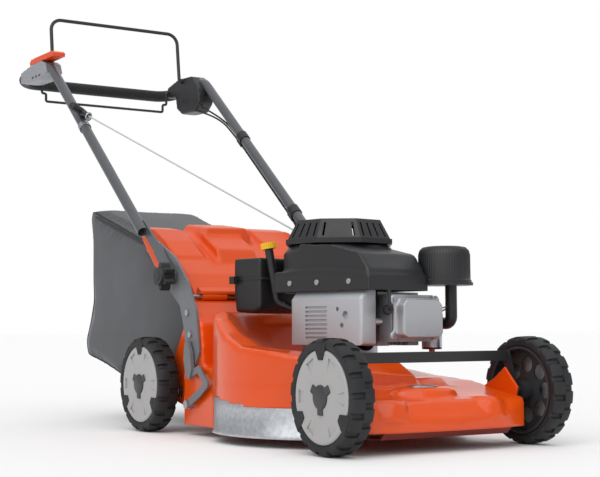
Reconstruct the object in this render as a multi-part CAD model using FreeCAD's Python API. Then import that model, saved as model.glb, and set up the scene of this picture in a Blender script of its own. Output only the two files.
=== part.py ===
import FreeCAD, Part
import math
import os

# Walk-behind petrol lawn mower with a rear grass bag.
# Modelled with Z up, the ground at Z = 0, X = 0 in the middle, Y = 0 half way between the axles and
# the front towards -Y.  The operator stands at +Y, so the operator's right is -X.
# Every sub-part is moved at the end so that the origin is the bottom centre of the whole machine.
# All sizes are in millimetres.

V = FreeCAD.Vector

# ---------------------------------------------------------------- wheels and axles
WHEEL_RADIUS = 105.0
WHEELBASE = 732.0
TYRE_WIDTH = 48.0
TRACK_OUTER = 514.0            # over the outer faces of the tyres
TYRE_DEPTH = 20.0              # rubber outside the rim
TYRE_CHAMFER = 7.0
RIM_WALL = 5.0
RIM_WEB = 4.0
RIM_WINDOWS = 8
HUB_RADIUS = 19.0
HUB_DISC_THICKNESS = 6.0
HUB_CAP_RADIUS = 22.0
HUB_CAP_HEIGHT = 5.0
AXLE_RADIUS = 6.0
SHAFT_CLEARANCE = 0.05         # radial gap of every running fit
AXLE_ARM = 75.0                # from the deck pivot to the wheel centre
AXLE_ARM_RISE = 12.0           # degrees that the arm points up at the lowest cut
AXLE_PLATE = 6.0
AXLE_PLATE_WIDTH = 26.0
FRONT_BAR_Y = -345.0           # bar over the front of the deck
FRONT_BAR_Z = 172.0
FRONT_BAR_THICKNESS = 8.0
FRONT_BAR_HEIGHT = 20.0
PIVOT_BOLT_RADIUS = 5.0
PIVOT_HEAD_RADIUS = 9.0
PIVOT_HEAD_HEIGHT = 4.0

# ---------------------------------------------------------------- engine place
ENGINE_Y = -52.0               # crankshaft axis
ENGINE_YAW = 10.0              # degrees, cylinder turned towards +X
ENGINE_BASE_Z = 146.0          # top of the deck's engine plate

# ---------------------------------------------------------------- deck
DECK_WALL = 2.0
CHAMBER_RADIUS = 263.0
CHAMBER_BOTTOM = 30.0
CHAMBER_EDGE_Z = 115.0         # outer edge of the sloping roof
ENGINE_PLATE_RADIUS = 125.0
RIDGE_FOOT_RADIUS = 186.0      # raised volute on the right side
RIDGE_CREST_RADIUS = 234.0
RIDGE_TOP_Z = 262.0
CRANK_HOLE_RADIUS = 45.0
HOUSING_HALF_WIDTH = 212.0     # rear discharge housing
HOUSING_BOTTOM = 21.0
HOUSING_REAR_Y = 240.0
HINGE_Y = 215.0
HINGE_Z = 297.0
SIDE_PLATE_X = 184.0           # inner faces of the plates that carry the rear pivots
SIDE_PLATE = 6.0
MOUTH_FOOT_Y = 335.0
MOUTH_FOOT_Z = 138.0
RAMP_START_Z = 84.0
APRON_HALF_WIDTH = 190.0
APRON_FRONT_Y = -430.0
APRON_BOTTOM = 35.0
SKIRT_THICKNESS = 3.0
SKIRT_BOTTOM = 18.0
SKIRT_TOP_REAR = 97.0
SKIRT_TOP_FRONT = 75.0
SKIRT_REAR_Y = 98.0
SKIRT_MID_Y = -128.0
SKIRT_FRONT_Y = -290.0
SKIRT_LAP = 14.0               # hidden height behind the deck wall
FIT_GAP = 0.5                  # between formed panels that are bolted together

# ---------------------------------------------------------------- blade and crankshaft
BLADE_LENGTH = 506.0
BLADE_WIDTH = 56.0
BLADE_THICKNESS = 4.0
BLADE_Z = 30.0
CRANK_RADIUS = 12.5
CRANK_WEB_RADIUS = 40.0
CRANK_WEB_BOTTOM = 190.0
CRANK_WEB_TOP = 240.0
ADAPTER_RADIUS = 24.0
ENGINE_PULLEY_RADIUS = 28.0
GEARBOX_PULLEY_RADIUS = 35.0
BELT_Z = 70.0
BELT_THICKNESS = 6.0
BLADE_BOLT_RADIUS = 5.0
BLADE_BOLT_HEAD = 9.0

# ---------------------------------------------------------------- handle
HANDLE_TUBE_RADIUS = 12.5
HANDLE_TUBE_WALL = 1.8
HANDLE_X = 232.0
HANDLE_FOOT_Y = 401.0
HANDLE_FOOT_Z = 448.0
HANDLE_BEND_Y = 965.0
HANDLE_BEND_Z = 930.0
HANDLE_BEND_RADIUS = 70.0
GRIP_Y = 1185.0
GRIP_Z = 915.0
GRIP_BEND_RADIUS = 50.0
GRIP_RADIUS = 16.0
FOLD_Y = 274.0                 # knob and fold axis
FOLD_Z = 342.0
FOOT_PLATE = 5.0
FOOT_WIDTH = 34.0
BRACKET_PLATE = 5.0
BRACKET_GAP = 1.0
KNOB_BOLT_RADIUS = 4.0
KNOB_RADIUS = 32.0
KNOB_HEIGHT = 36.0
KNOB_LOBES = 6

# ---------------------------------------------------------------- controls
BRAKE_ROD_RADIUS = 4.75
BRAKE_HALF_WIDTH = 193.0
BRAKE_PIVOT_Y = 1040.0
BRAKE_PIVOT_Z = 935.0
BRAKE_TOP_Y = 1057.0
BRAKE_TOP_Z = 1075.0
DRIVE_ROD_RADIUS = 3.5
DRIVE_HALF_WIDTH = 180.0
DRIVE_PIVOT_Y = 1120.0
DRIVE_PIVOT_Z = 915.5
DRIVE_DROP = 57.5
POD_INNER_X = 201.0            # inner faces of the two control pods
PIN_DEPTH = 8.0

# ---------------------------------------------------------------- starter
ROPE_RADIUS = 2.0
ROPE_EXIT = (-20.0, 66.0, 430.0)
ROPE_EYE = (-231.0, 712.0, 757.0)
EYE_RADIUS = 8.0
EYE_WIRE = 2.2

# ---------------------------------------------------------------- flap and bag
FLAP_HALF_WIDTH = 190.0
FLAP_WALL = 3.0
HINGE_ROD_RADIUS = 4.0
BAG_HALF_WIDTH = 155.0
BAG_WALL = 2.5
BAG_MOUTH_HEM = 8.0            # cloth left all round the mouth
BAG_WIRE_RADIUS = 4.0

FRONT_AXLE_Y = -WHEELBASE / 2.0
REAR_AXLE_Y = WHEELBASE / 2.0
WHEEL_OUT = TRACK_OUTER / 2.0
WHEEL_IN = WHEEL_OUT - TYRE_WIDTH
RIM_RADIUS = WHEEL_RADIUS - TYRE_DEPTH
ARM_RUN = AXLE_ARM * math.cos(math.radians(AXLE_ARM_RISE))
ARM_RISE = AXLE_ARM * math.sin(math.radians(AXLE_ARM_RISE))
PIVOT_Z = WHEEL_RADIUS - ARM_RISE
FRONT_PIVOT_Y = FRONT_AXLE_Y + ARM_RUN
REAR_PIVOT_Y = REAR_AXLE_Y - ARM_RUN
AXLE_PLATE_X = WHEEL_IN - 10.0 - AXLE_PLATE
HANDLE_REAR = GRIP_Y + GRIP_RADIUS
MIDDLE_Y = (FRONT_AXLE_Y - WHEEL_RADIUS + HANDLE_REAR) / 2.0

# ---------------------------------------------------------------- engine sizes
CYLINDER_Z = 246.0             # cylinder axis
HEAD_FRONT = -203.0            # joint face of the valve cover
HEAD_REAR = -170.0
HEAD_RIGHT = -60.0
HEAD_LEFT = 62.0
HEAD_HALF_HEIGHT = 46.0
CASE_RADIUS = 78.0
CASE_HEIGHT = 140.0
CASE_FOOT_RADIUS = 92.0
CASE_FOOT_THICKNESS = 12.0
CRANKCASE_GAP = 14.0           # between the crank webs and the crankcase wall
FIN_THICKNESS = 3.0
FIN_PITCH = 11
FIN_FIRST_Y = -165
FIN_LAST_Y = -88
BORE_RADIUS = 34.0             # 68 mm cylinder bore
COVER_FLANGE = 5.0
COVER_DEPTH = 24.0
COVER_RIGHT = -56.0
COVER_LEFT = 66.0
COVER_SCREW_LOW = 34.0         # below the cylinder axis
COVER_SCREW_HIGH = 36.0
COVER_EAR_RADIUS = 9.0
COVER_SCREW_RADIUS = 5.0
MUFFLER_BOX = (-114.0, -84.0, -168.0, 0.0, 205.0, 282.0)
MUFFLER_WALL = 1.5
MUFFLER_PIPE_START = (-58.0, -175.0, 240.0)
MUFFLER_PIPE_END = (-90.0, -160.0, 240.0)
MUFFLER_PIPE_RADIUS = 8.0
SHIELD_WALL = 1.5
SHIELD_FACE_X = -124.0
SHIELD_BOTTOM = 194.0
SHIELD_TOP = 307.0
SHIELD_FRONT_Y = -186.0
SHIELD_REAR_Y = 16.0
LOUVRES = 8
LOUVRE_PITCH = 8.6
LOUVRE_HEIGHT = 3.6
LOUVRE_FIRST_Z = 206.0
CARB_BOWL_CENTRE = (88.0, -176.0)
CARB_BOWL_RADIUS = 20.0
CARB_BOWL_HEIGHT = 34.0
CARB_BOWL_BOTTOM = 184.0
INTAKE_Y = -175.0
INTAKE_Z = 236.0
AIR_CENTRE = (102.0, -199.0)
AIR_BASE_RADIUS = 58.0
AIR_BASE_THICKNESS = 6.0
AIR_BASE_Z = 312.0
AIR_CAP_RADIUS = 53.0
AIR_CAP_TOP = 391.0
AIR_CAP_WALL = 2.5
SHROUD_BOTTOM = 300.0
SHROUD_TOP = 399.0
SHROUD_RADIUS = 116.0
SHROUD_NOSE_Y = -204.0
SHROUD_WALL = 3.0
FAN_OPENING_RADIUS = 84.0
RECOIL_SLOTS = 32
RECOIL_SLOT_WIDTH = 4.4
RECOIL_SKIRT_RADIUS = 118.0
RECOIL_SKIRT_HEIGHT = 10.0
RECOIL_LOW_RADIUS = 114.0
RECOIL_TOP_RADIUS = 92.0
RECOIL_HEIGHT = 50.0
RECOIL_WALL = 4.0
TANK_BOX = (-110.0, 88.0, 126.0, 212.0, 258.0, 376.0)
TANK_CORNER = 16.0
TANK_WALL = 3.0
TANK_NECK = (46.0, 168.0)
TANK_NECK_RADIUS = 20.0
FUEL_CAP_RADIUS = 24.0
FUEL_CAP_HEIGHT = 18.0
FILLER_FOOT = (-50.0, 66.0, 262.0)
FILLER_BEND = (-78.0, 105.0, 280.0)
FILLER_TOP = (-90.0, 120.0, 394.0)
FILLER_RADIUS = 9.0
OIL_CAP_RADIUS = 16.0
OIL_CAP_HEIGHT = 13.0
OIL_CAP_RIBS = 20
PLUG_SEAT = (-58.0, -188.0, 262.0)
PLUG_HEX_RADIUS = 8.0
PLUG_HEX_LENGTH = 20.0
PLUG_TIP_RADIUS = 4.0
PLUG_TIP_LENGTH = 40.0
BOOT_LENGTH = 24.0
LEAD_RADIUS = 3.2
LEAD_PATH = ((-84.0, -222.0, 284.0), (-74.0, -212.0, 299.9))
CRANK_TOP = 366.0
CRANK_WEB_THICKNESS = 12.0
FLYWHEEL_RADIUS = 92.0
FLYWHEEL_Z = 318.0
FLYWHEEL_THICKNESS = 10.0
FLYWHEEL_HUB_RADIUS = 24.0
FAN_VANES = 12
FAN_TOP = 352.0
BLADE_SEAT = 6.0               # adapter flange above the blade
LIFT_WIDTH = 16.0              # turned-up part of the blade's trailing edge
LIFT_LENGTH = 106.0
PULLEY_HALF_WIDTH = 9.0
PULLEY_FLANGE = 6.0
BLADE_WASHER_RADIUS = 16.0

# ---------------------------------------------------------------- transmission
GEARBOX_PULLEY_Y = 292.0
GEARBOX_RADIUS = 37.0
GEARBOX_HALF_WIDTH = 32.0
INPUT_SHAFT_RADIUS = 6.0

# ---------------------------------------------------------------- fittings on the handle and levers
BRACKET_X = HOUSING_HALF_WIDTH + BRACKET_GAP
FOOT_X = BRACKET_X + BRACKET_PLATE + BRACKET_GAP
KNOB_X = FOOT_X + FOOT_PLATE + BRACKET_GAP
BRACKET_BOLTS = ((209.0, 262.0), (196.0, 215.0))
HANDLE_BENDS = [HANDLE_BEND_RADIUS, GRIP_BEND_RADIUS, GRIP_BEND_RADIUS, HANDLE_BEND_RADIUS]
THROTTLE_PIVOT_Y = 915.0
THROTTLE_PIVOT_Z = 946.0
CLIP_SPOTS = (742.0, 486.0)
CLIP_LENGTH = 26.0
CLIP_RUN_OUT = 22.0             # from the clip's middle to where a cable leaves the tube
CLIP_BEND_RADIUS = 60.0
CABLE_RADIUS = 2.5
CABLE_DROP = HANDLE_TUBE_RADIUS + CABLE_RADIUS + 1.5
GRIP_SETBACK = 6.0
STARTER_GRIP_STEM = 24.0
STARTER_GRIP_LENGTH = 74.0
LEVER_X = BRACKET_X + BRACKET_PLATE + 3.0
LEVER_PLATE = 4.0
LEVER_PIVOT = (200.0, 66.0)
BAG_OUTLINE = [
    (247.0, 278.0), (262.0, 288.0), (320.0, 338.0), (541.0, 440.0), (862.0, 538.0), (877.0, 530.0),
    (868.0, 301.0), (905.0, 194.0), (892.0, 159.0), (697.0, 113.0), (386.0, 150.0), (372.0, 160.0),
]


# ================================================================ shape helpers

def box(x0, x1, y0, y1, z0, z1):
    return Part.makeBox(x1 - x0, y1 - y0, z1 - z0, V(x0, y0, z0))


def bar(start, end, radius):
    """Round bar between two points."""
    a, b = V(*start), V(*end)
    return Part.makeCylinder(radius, (b - a).Length, a, b - a)


def polygon(points):
    return Part.makePolygon([V(*p) for p in points] + [V(*points[0])])


def prism_x(outline, x0, x1):
    """Extrude a (y, z) outline along X."""
    face = Part.Face(polygon([(x0, y, z) for y, z in outline]))
    return face.extrude(V(x1 - x0, 0, 0))


def prism_y(outline, y0, y1):
    """Extrude an (x, z) outline along Y."""
    face = Part.Face(polygon([(x, y0, z) for x, z in outline]))
    return face.extrude(V(0, y1 - y0, 0))


def prism_z(outline, z0, z1):
    """Extrude an (x, y) outline along Z."""
    face = Part.Face(polygon([(x, y, z0) for x, y in outline]))
    return face.extrude(V(0, 0, z1 - z0))


def turned(profile, base=(0, 0, 0), axis=(0, 0, 1)):
    """Turn a closed (radius, height) profile about an axis through base."""
    face = Part.Face(polygon([(r, 0, h) for r, h in profile]))
    solid = face.revolve(V(0, 0, 0), V(0, 0, 1), 360)
    solid.Placement = FreeCAD.Placement(V(*base), FreeCAD.Rotation(V(0, 0, 1), V(*axis)))
    return solid


def ring(outer, inner, z0, z1, centre=(0, 0)):
    return turned([(inner, z0), (outer, z0), (outer, z1), (inner, z1)], (centre[0], centre[1], 0))


def fuse(shapes):
    joined = shapes[0].multiFuse(shapes[1:]) if len(shapes) > 1 else shapes[0]
    return joined.removeSplitter()


def cut(shape, *tools):
    for tool in tools:
        shape = shape.cut(tool)
    return shape


def mirrored(shape):
    return shape.mirror(V(0, 0, 0), V(1, 0, 0))


def both_sides(shape):
    """The left shape and its mirror image on the right."""
    return Part.makeCompound([shape, mirrored(shape)])


def strip(start, end, width, x0, x1):
    """Flat link with round ends, from one (y, z) point to another."""
    a, b = V(x0, *start), V(x0, *end)
    along = (b - a).normalize()
    side = along.cross(V(1, 0, 0)) * (width / 2.0)
    corners = [a + side, b + side, b - side, a - side]
    body = Part.Face(Part.makePolygon(corners + [corners[0]])).extrude(V(x1 - x0, 0, 0))
    ends = [Part.makeCylinder(width / 2.0, x1 - x0, p, V(1, 0, 0)) for p in (a, b)]
    return fuse([body] + ends)


def bend_path(points, bend):
    """Straight runs joined by tangent arcs of one radius, or of one radius per inner point."""
    path = [V(*p) for p in points]
    radii = bend if isinstance(bend, (list, tuple)) else [bend] * (len(path) - 2)
    edges = []
    start = path[0]
    for before, corner, after, radius in zip(path, path[1:], path[2:], radii):
        back = (before - corner).normalize()
        ahead = (after - corner).normalize()
        half = back.getAngle(ahead) / 2.0
        reach = radius / math.tan(half)
        centre = corner + (back + ahead).normalize() * (radius / math.sin(half))
        first, last = corner + back * reach, corner + ahead * reach
        middle = centre + (corner - centre).normalize() * radius
        if (first - start).Length > 0.01:
            edges.append(Part.LineSegment(start, first).toShape())
        edges.append(Part.Arc(first, middle, last).toShape())
        start = last
    if (path[-1] - start).Length > 0.01:
        edges.append(Part.LineSegment(start, path[-1]).toShape())
    return Part.Wire(edges)


def rod(points, radius, bend):
    """Bent round bar."""
    spine = bend_path(points, bend)
    first = spine.Edges[0]
    start = first.valueAt(first.FirstParameter)
    heading = first.tangentAt(first.FirstParameter)
    profile = Part.Wire(Part.Circle(start, heading, radius).toShape())
    return spine.makePipeShell([profile], True, False)


def in_engine_frame(shape):
    """Move a shape from the engine's own axes (crank at the origin, cylinder towards -Y)."""
    turn = FreeCAD.Rotation(V(0, 0, 1), ENGINE_YAW)
    placed = shape.copy()
    placed.Placement = FreeCAD.Placement(V(0, ENGINE_Y, 0), turn).multiply(shape.Placement)
    return placed


# ================================================================ wheels

def tyre(side, axle_y):
    """Moulded rubber tyre with bevelled shoulders."""
    inner, outer = RIM_RADIUS, WHEEL_RADIUS
    profile = [
        (inner, 0), (outer - TYRE_CHAMFER, 0), (outer, TYRE_CHAMFER),
        (outer, TYRE_WIDTH - TYRE_CHAMFER), (outer - TYRE_CHAMFER, TYRE_WIDTH), (inner, TYRE_WIDTH),
    ]
    return turned(profile, (side * WHEEL_IN, axle_y, WHEEL_RADIUS), (side, 0, 0))


def rim(side, axle_y):
    """Black rim: seat for the tyre, a web with round windows and a hub that runs on the axle pin."""
    depth = TYRE_WIDTH - HUB_DISC_THICKNESS
    web_at = depth / 2.0
    seat = ring(RIM_RADIUS, RIM_RADIUS - RIM_WALL, 0, depth)
    web = ring(RIM_RADIUS - RIM_WALL, HUB_RADIUS, web_at, web_at + RIM_WEB)
    window_orbit = (RIM_RADIUS - RIM_WALL + HUB_RADIUS) / 2.0
    window_radius = math.pi * window_orbit / RIM_WINDOWS - RIM_WEB
    for number in range(RIM_WINDOWS):
        angle = 2 * math.pi * number / RIM_WINDOWS
        at = V(window_orbit * math.cos(angle), window_orbit * math.sin(angle), web_at - 1)
        web = web.cut(Part.makeCylinder(window_radius, RIM_WEB + 2, at))
    hub = ring(HUB_RADIUS, AXLE_RADIUS + SHAFT_CLEARANCE, 0, depth)
    wheel = fuse([seat, web, hub])
    wheel.Placement = FreeCAD.Placement(
        V(side * WHEEL_IN, axle_y, WHEEL_RADIUS), FreeCAD.Rotation(V(0, 0, 1), V(side, 0, 0)))
    return wheel


def hub_disc(side, axle_y):
    """Light grey outer disc with the raised cap over the axle end."""
    start = TYRE_WIDTH - HUB_DISC_THICKNESS
    rim_edge = RIM_RADIUS - 0.3
    profile = [
        (0, start), (rim_edge, start), (rim_edge, start + 3), (rim_edge - 12, TYRE_WIDTH),
        (HUB_CAP_RADIUS + 6, TYRE_WIDTH - 2), (HUB_CAP_RADIUS, TYRE_WIDTH - 2),
        (HUB_CAP_RADIUS - 4, TYRE_WIDTH + HUB_CAP_HEIGHT), (0, TYRE_WIDTH + HUB_CAP_HEIGHT),
    ]
    return turned(profile, (side * WHEEL_IN, axle_y, WHEEL_RADIUS), (side, 0, 0))


def axle_pin(axle_y):
    end_x = WHEEL_OUT - HUB_DISC_THICKNESS - 3
    return bar((AXLE_PLATE_X, axle_y, WHEEL_RADIUS), (end_x, axle_y, WHEEL_RADIUS), AXLE_RADIUS)


def pivot_hole(pivot_y):
    return bar((AXLE_PLATE_X - 1, pivot_y, PIVOT_Z), (AXLE_PLATE_X + AXLE_PLATE + 1, pivot_y, PIVOT_Z),
               PIVOT_BOLT_RADIUS + SHAFT_CLEARANCE)


def front_axle():
    """Height-adjusting front axle: bar over the deck, two crank plates and two wheel pins."""
    x0, x1 = AXLE_PLATE_X, AXLE_PLATE_X + AXLE_PLATE
    wheel = (FRONT_AXLE_Y, WHEEL_RADIUS)
    pivot = (FRONT_PIVOT_Y, PIVOT_Z)
    top = (FRONT_BAR_Y, FRONT_BAR_Z)
    low_arm = strip(wheel, pivot, AXLE_PLATE_WIDTH, x0, x1)
    plate = fuse([low_arm, strip(wheel, top, FRONT_BAR_HEIGHT, x0, x1)])
    arm = fuse([plate.cut(pivot_hole(FRONT_PIVOT_Y)), axle_pin(FRONT_AXLE_Y)])
    half = FRONT_BAR_THICKNESS / 2.0
    cross = box(-x1, x1, FRONT_BAR_Y - half, FRONT_BAR_Y + half,
                FRONT_BAR_Z - FRONT_BAR_HEIGHT / 2.0, FRONT_BAR_Z + FRONT_BAR_HEIGHT / 2.0)
    return fuse([arm, mirrored(arm), cross])


def rear_axle():
    """Height-adjusting rear axle: live shaft through the gearbox and two swing plates."""
    x0, x1 = AXLE_PLATE_X, AXLE_PLATE_X + AXLE_PLATE
    plate = strip((REAR_AXLE_Y, WHEEL_RADIUS), (REAR_PIVOT_Y, PIVOT_Z), AXLE_PLATE_WIDTH, x0, x1)
    arm = fuse([plate.cut(pivot_hole(REAR_PIVOT_Y)), axle_pin(REAR_AXLE_Y)])
    shaft = bar((-x0, REAR_AXLE_Y, WHEEL_RADIUS), (x0, REAR_AXLE_Y, WHEEL_RADIUS), AXLE_RADIUS)
    return fuse([arm, mirrored(arm), shaft])


# ================================================================ deck

def deck_form(inset):
    """Filled shape of the deck; inset shrinks it to the space inside the sheet."""
    floor = -20.0 if inset else 0.0
    chamber = turned([
        (0, floor or CHAMBER_BOTTOM), (CHAMBER_RADIUS - inset, floor or CHAMBER_BOTTOM),
        (CHAMBER_RADIUS - inset, CHAMBER_EDGE_Z - inset),
        (ENGINE_PLATE_RADIUS - inset / 2.0, ENGINE_BASE_Z - inset), (0, ENGINE_BASE_Z - inset),
    ], (0, ENGINE_Y, 0))
    ridge_ring = turned([
        (RIDGE_FOOT_RADIUS + inset, CHAMBER_EDGE_Z - 20), (RIDGE_FOOT_RADIUS + inset, ENGINE_BASE_Z - inset),
        (RIDGE_CREST_RADIUS + inset, RIDGE_TOP_Z - inset), (CHAMBER_RADIUS - 6 - inset, RIDGE_TOP_Z - inset),
        (CHAMBER_RADIUS - inset, RIDGE_TOP_Z - 8 - inset), (CHAMBER_RADIUS - inset, CHAMBER_EDGE_Z - 20),
    ], (0, ENGINE_Y, 0))
    ridge_side = prism_x([
        (-320, 90), (-320, 132 - inset), (-245, 172 - inset), (-80, 192 - inset), (20, 241 - inset),
        (95, RIDGE_TOP_Z - inset), (HINGE_Y - 15, RIDGE_TOP_Z - inset), (HINGE_Y - 15, 90),
    ], -CHAMBER_RADIUS, -inset)
    ridge = ridge_ring.common(ridge_side)
    rear = HOUSING_REAR_Y - inset
    housing = prism_x([
        (40, floor or HOUSING_BOTTOM), (40, ENGINE_BASE_Z - inset), (150 + inset, ENGINE_BASE_Z - inset),
        (161 + inset, 225), (188 + inset, 263 - inset / 2.0), (HINGE_Y - 2 + inset, HINGE_Z - 10 - inset),
        (rear, HINGE_Z - 14 - inset), (rear, floor or HOUSING_BOTTOM),
    ], -HOUSING_HALF_WIDTH + inset, HOUSING_HALF_WIDTH - inset)
    front = APRON_FRONT_Y + inset
    apron = prism_x([
        (-150, floor or APRON_BOTTOM), (front, floor or APRON_BOTTOM), (front, 72), (front + 6, 76),
        (front + 16, 106 - inset / 2.0), (front + 34, 118 - inset), (-330, 121 - inset),
        (-240, 124 - inset), (-150, 128 - inset),
    ], -APRON_HALF_WIDTH + inset, APRON_HALF_WIDTH - inset)
    wide = APRON_HALF_WIDTH - inset
    rounded = prism_y([
        (-wide, -20), (-wide, 96 - inset), (-158, 119 - inset), (-130, 131 - inset), (130, 131 - inset),
        (158, 119 - inset), (wide, 96 - inset), (wide, -20),
    ], APRON_FRONT_Y, 0)
    return fuse([chamber, ridge, housing, apron.common(rounded)])


def mouth_side():
    """Plate that carries the rear pivot and closes the side of the discharge mouth."""
    outline = [
        (HOUSING_REAR_Y - 6, 60), (HOUSING_REAR_Y - 6, HINGE_Z - 18), (HOUSING_REAR_Y + 6, HINGE_Z - 18),
        (MOUTH_FOOT_Y, MOUTH_FOOT_Z + 14), (MOUTH_FOOT_Y, MOUTH_FOOT_Z - 12), (REAR_PIVOT_Y + 20, 66),
        (REAR_PIVOT_Y - 10, 60),
    ]
    return prism_x(outline, SIDE_PLATE_X, SIDE_PLATE_X + SIDE_PLATE)


def deck_shell():
    """Pressed steel deck: blade chamber, volute, rear discharge housing and front apron, one weldment."""
    skin = deck_form(0).cut(deck_form(DECK_WALL))
    crank_hole = Part.makeCylinder(CRANK_HOLE_RADIUS, 40, V(0, ENGINE_Y, ENGINE_BASE_Z - 20))
    skirt_gap = prism_x([
        (SKIRT_FRONT_Y, 0), (SKIRT_REAR_Y, 0), (SKIRT_REAR_Y, SKIRT_TOP_REAR), (SKIRT_MID_Y, SKIRT_TOP_FRONT),
        (SKIRT_FRONT_Y, SKIRT_TOP_FRONT),
    ], -CHAMBER_RADIUS - 10, -90)
    mouth = prism_x([
        (HOUSING_REAR_Y - 20, RAMP_START_Z), (HOUSING_REAR_Y + 5, RAMP_START_Z),
        (HOUSING_REAR_Y + 5, HINGE_Z - 22), (HOUSING_REAR_Y - 20, HINGE_Z - 22),
    ], -SIDE_PLATE_X, SIDE_PLATE_X)
    belt_slot = box(-GEARBOX_PULLEY_RADIUS - 14, GEARBOX_PULLEY_RADIUS + 14, HOUSING_REAR_Y - 10,
                    HOUSING_REAR_Y + 5, BELT_Z - 50, BELT_Z + 10)
    skin = cut(skin, crank_hole, skirt_gap, mouth, belt_slot)
    ramp = prism_x([
        (HOUSING_REAR_Y - 3, RAMP_START_Z - 3), (HOUSING_REAR_Y - 3, RAMP_START_Z),
        (MOUTH_FOOT_Y, MOUTH_FOOT_Z), (MOUTH_FOOT_Y, MOUTH_FOOT_Z - 3),
    ], -SIDE_PLATE_X, SIDE_PLATE_X)
    side = mouth_side()
    web = box(SIDE_PLATE_X, HOUSING_HALF_WIDTH - 1, HOUSING_REAR_Y - 6, HOUSING_REAR_Y, 60, HINGE_Z - 18)
    deck = fuse([skin, ramp, side, mirrored(side), web, mirrored(web)])
    for y, z in BRACKET_BOLTS:
        hole = bar((-HOUSING_HALF_WIDTH - 1, y, z), (HOUSING_HALF_WIDTH + 1, y, z), KNOB_BOLT_RADIUS)
        deck = deck.cut(hole)
    for pivot_y in (FRONT_PIVOT_Y, REAR_PIVOT_Y):
        hole = bar((-HOUSING_HALF_WIDTH, pivot_y, PIVOT_Z), (HOUSING_HALF_WIDTH, pivot_y, PIVOT_Z),
                   PIVOT_BOLT_RADIUS)
        deck = deck.cut(hole)
    return deck


def side_skirt():
    """Galvanised wear band that closes the right side of the blade chamber."""
    outer = CHAMBER_RADIUS - DECK_WALL - FIT_GAP
    band = ring(outer, outer - SKIRT_THICKNESS, SKIRT_BOTTOM, SKIRT_TOP_REAR + SKIRT_LAP, (0, ENGINE_Y))
    outline = [
        (SKIRT_FRONT_Y, 0), (SKIRT_REAR_Y, 0), (SKIRT_REAR_Y, SKIRT_TOP_REAR + SKIRT_LAP),
        (SKIRT_MID_Y, SKIRT_TOP_FRONT + SKIRT_LAP), (SKIRT_FRONT_Y, SKIRT_TOP_FRONT + SKIRT_LAP),
    ]
    return band.common(prism_x(outline, -CHAMBER_RADIUS, -90))


def hinge_rod():
    """Steel rod that the rear flap turns on."""
    return bar((-FLAP_HALF_WIDTH - 12, HINGE_Y, HINGE_Z), (FLAP_HALF_WIDTH + 12, HINGE_Y, HINGE_Z),
               HINGE_ROD_RADIUS)


# ================================================================ handle bracket


def bracket(side):
    """Stamped steel side bracket that holds the folding handle."""
    outline = [
        (374, 433), (270, 385), (212, 330), (172, 267), (158, 178), (174, 150), (212, 147), (224, 221),
        (246, 278), (300, 315), (338, 330), (345, 372), (372, 410),
    ]
    plate = prism_x(outline, BRACKET_X, BRACKET_X + BRACKET_PLATE)
    holes = [bar((BRACKET_X - 1, y, z), (FOOT_X, y, z), KNOB_BOLT_RADIUS)
             for y, z in BRACKET_BOLTS + ((FOLD_Y, FOLD_Z),)]
    plate = cut(plate, *holes)
    return plate if side > 0 else mirrored(plate)


def bolt_x(x0, x1, y, z, radius, head):
    """Bolt along X whose head is at its outer end."""
    shank = bar((x0, y, z), (x1, y, z), radius)
    return fuse([shank, bar((x1, y, z), (x1 + PIVOT_HEAD_HEIGHT, y, z), head)])


def deck_bolts():
    """Axle pivot bolts, handle bracket bolts and knob bolts."""
    left = [bolt_x(SIDE_PLATE_X - 4, AXLE_PLATE_X + AXLE_PLATE + 0.5, y, PIVOT_Z, PIVOT_BOLT_RADIUS,
                   PIVOT_HEAD_RADIUS) for y in (FRONT_PIVOT_Y, REAR_PIVOT_Y)]
    for y, z in BRACKET_BOLTS:
        left.append(bolt_x(HOUSING_HALF_WIDTH - 6, BRACKET_X + BRACKET_PLATE, y, z, KNOB_BOLT_RADIUS, 7))
    left.append(bar((BRACKET_X, FOLD_Y, FOLD_Z), (KNOB_X + KNOB_HEIGHT - 6, FOLD_Y, FOLD_Z), KNOB_BOLT_RADIUS))
    return Part.makeCompound([both_sides(solid) for solid in left])


def knob(side):
    """Lobed plastic clamp knob that turns on the handle bolt."""
    body = Part.makeCylinder(KNOB_RADIUS, KNOB_HEIGHT, V(KNOB_X, FOLD_Y, FOLD_Z), V(1, 0, 0))
    scallop_orbit = KNOB_RADIUS + 5
    for number in range(KNOB_LOBES):
        angle = 2 * math.pi * number / KNOB_LOBES
        y = FOLD_Y + scallop_orbit * math.cos(angle)
        z = FOLD_Z + scallop_orbit * math.sin(angle)
        body = body.cut(Part.makeCylinder(10, KNOB_HEIGHT, V(KNOB_X + 8, y, z), V(1, 0, 0)))
    bore = bar((KNOB_X - 1, FOLD_Y, FOLD_Z), (KNOB_X + KNOB_HEIGHT - 5, FOLD_Y, FOLD_Z),
               KNOB_BOLT_RADIUS + SHAFT_CLEARANCE)
    body = body.cut(bore)
    return body if side > 0 else mirrored(body)


# ================================================================ handle

def handle_path():
    return [
        (HANDLE_X, HANDLE_FOOT_Y, HANDLE_FOOT_Z), (HANDLE_X, HANDLE_BEND_Y, HANDLE_BEND_Z),
        (HANDLE_X, GRIP_Y, GRIP_Z), (-HANDLE_X, GRIP_Y, GRIP_Z),
        (-HANDLE_X, HANDLE_BEND_Y, HANDLE_BEND_Z), (-HANDLE_X, HANDLE_FOOT_Y, HANDLE_FOOT_Z),
    ]


def along_handle(y):
    """Height of the straight lower leg of the handle at a given y."""
    share = (y - HANDLE_FOOT_Y) / (HANDLE_BEND_Y - HANDLE_FOOT_Y)
    return HANDLE_FOOT_Z + share * (HANDLE_BEND_Z - HANDLE_FOOT_Z)


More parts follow.
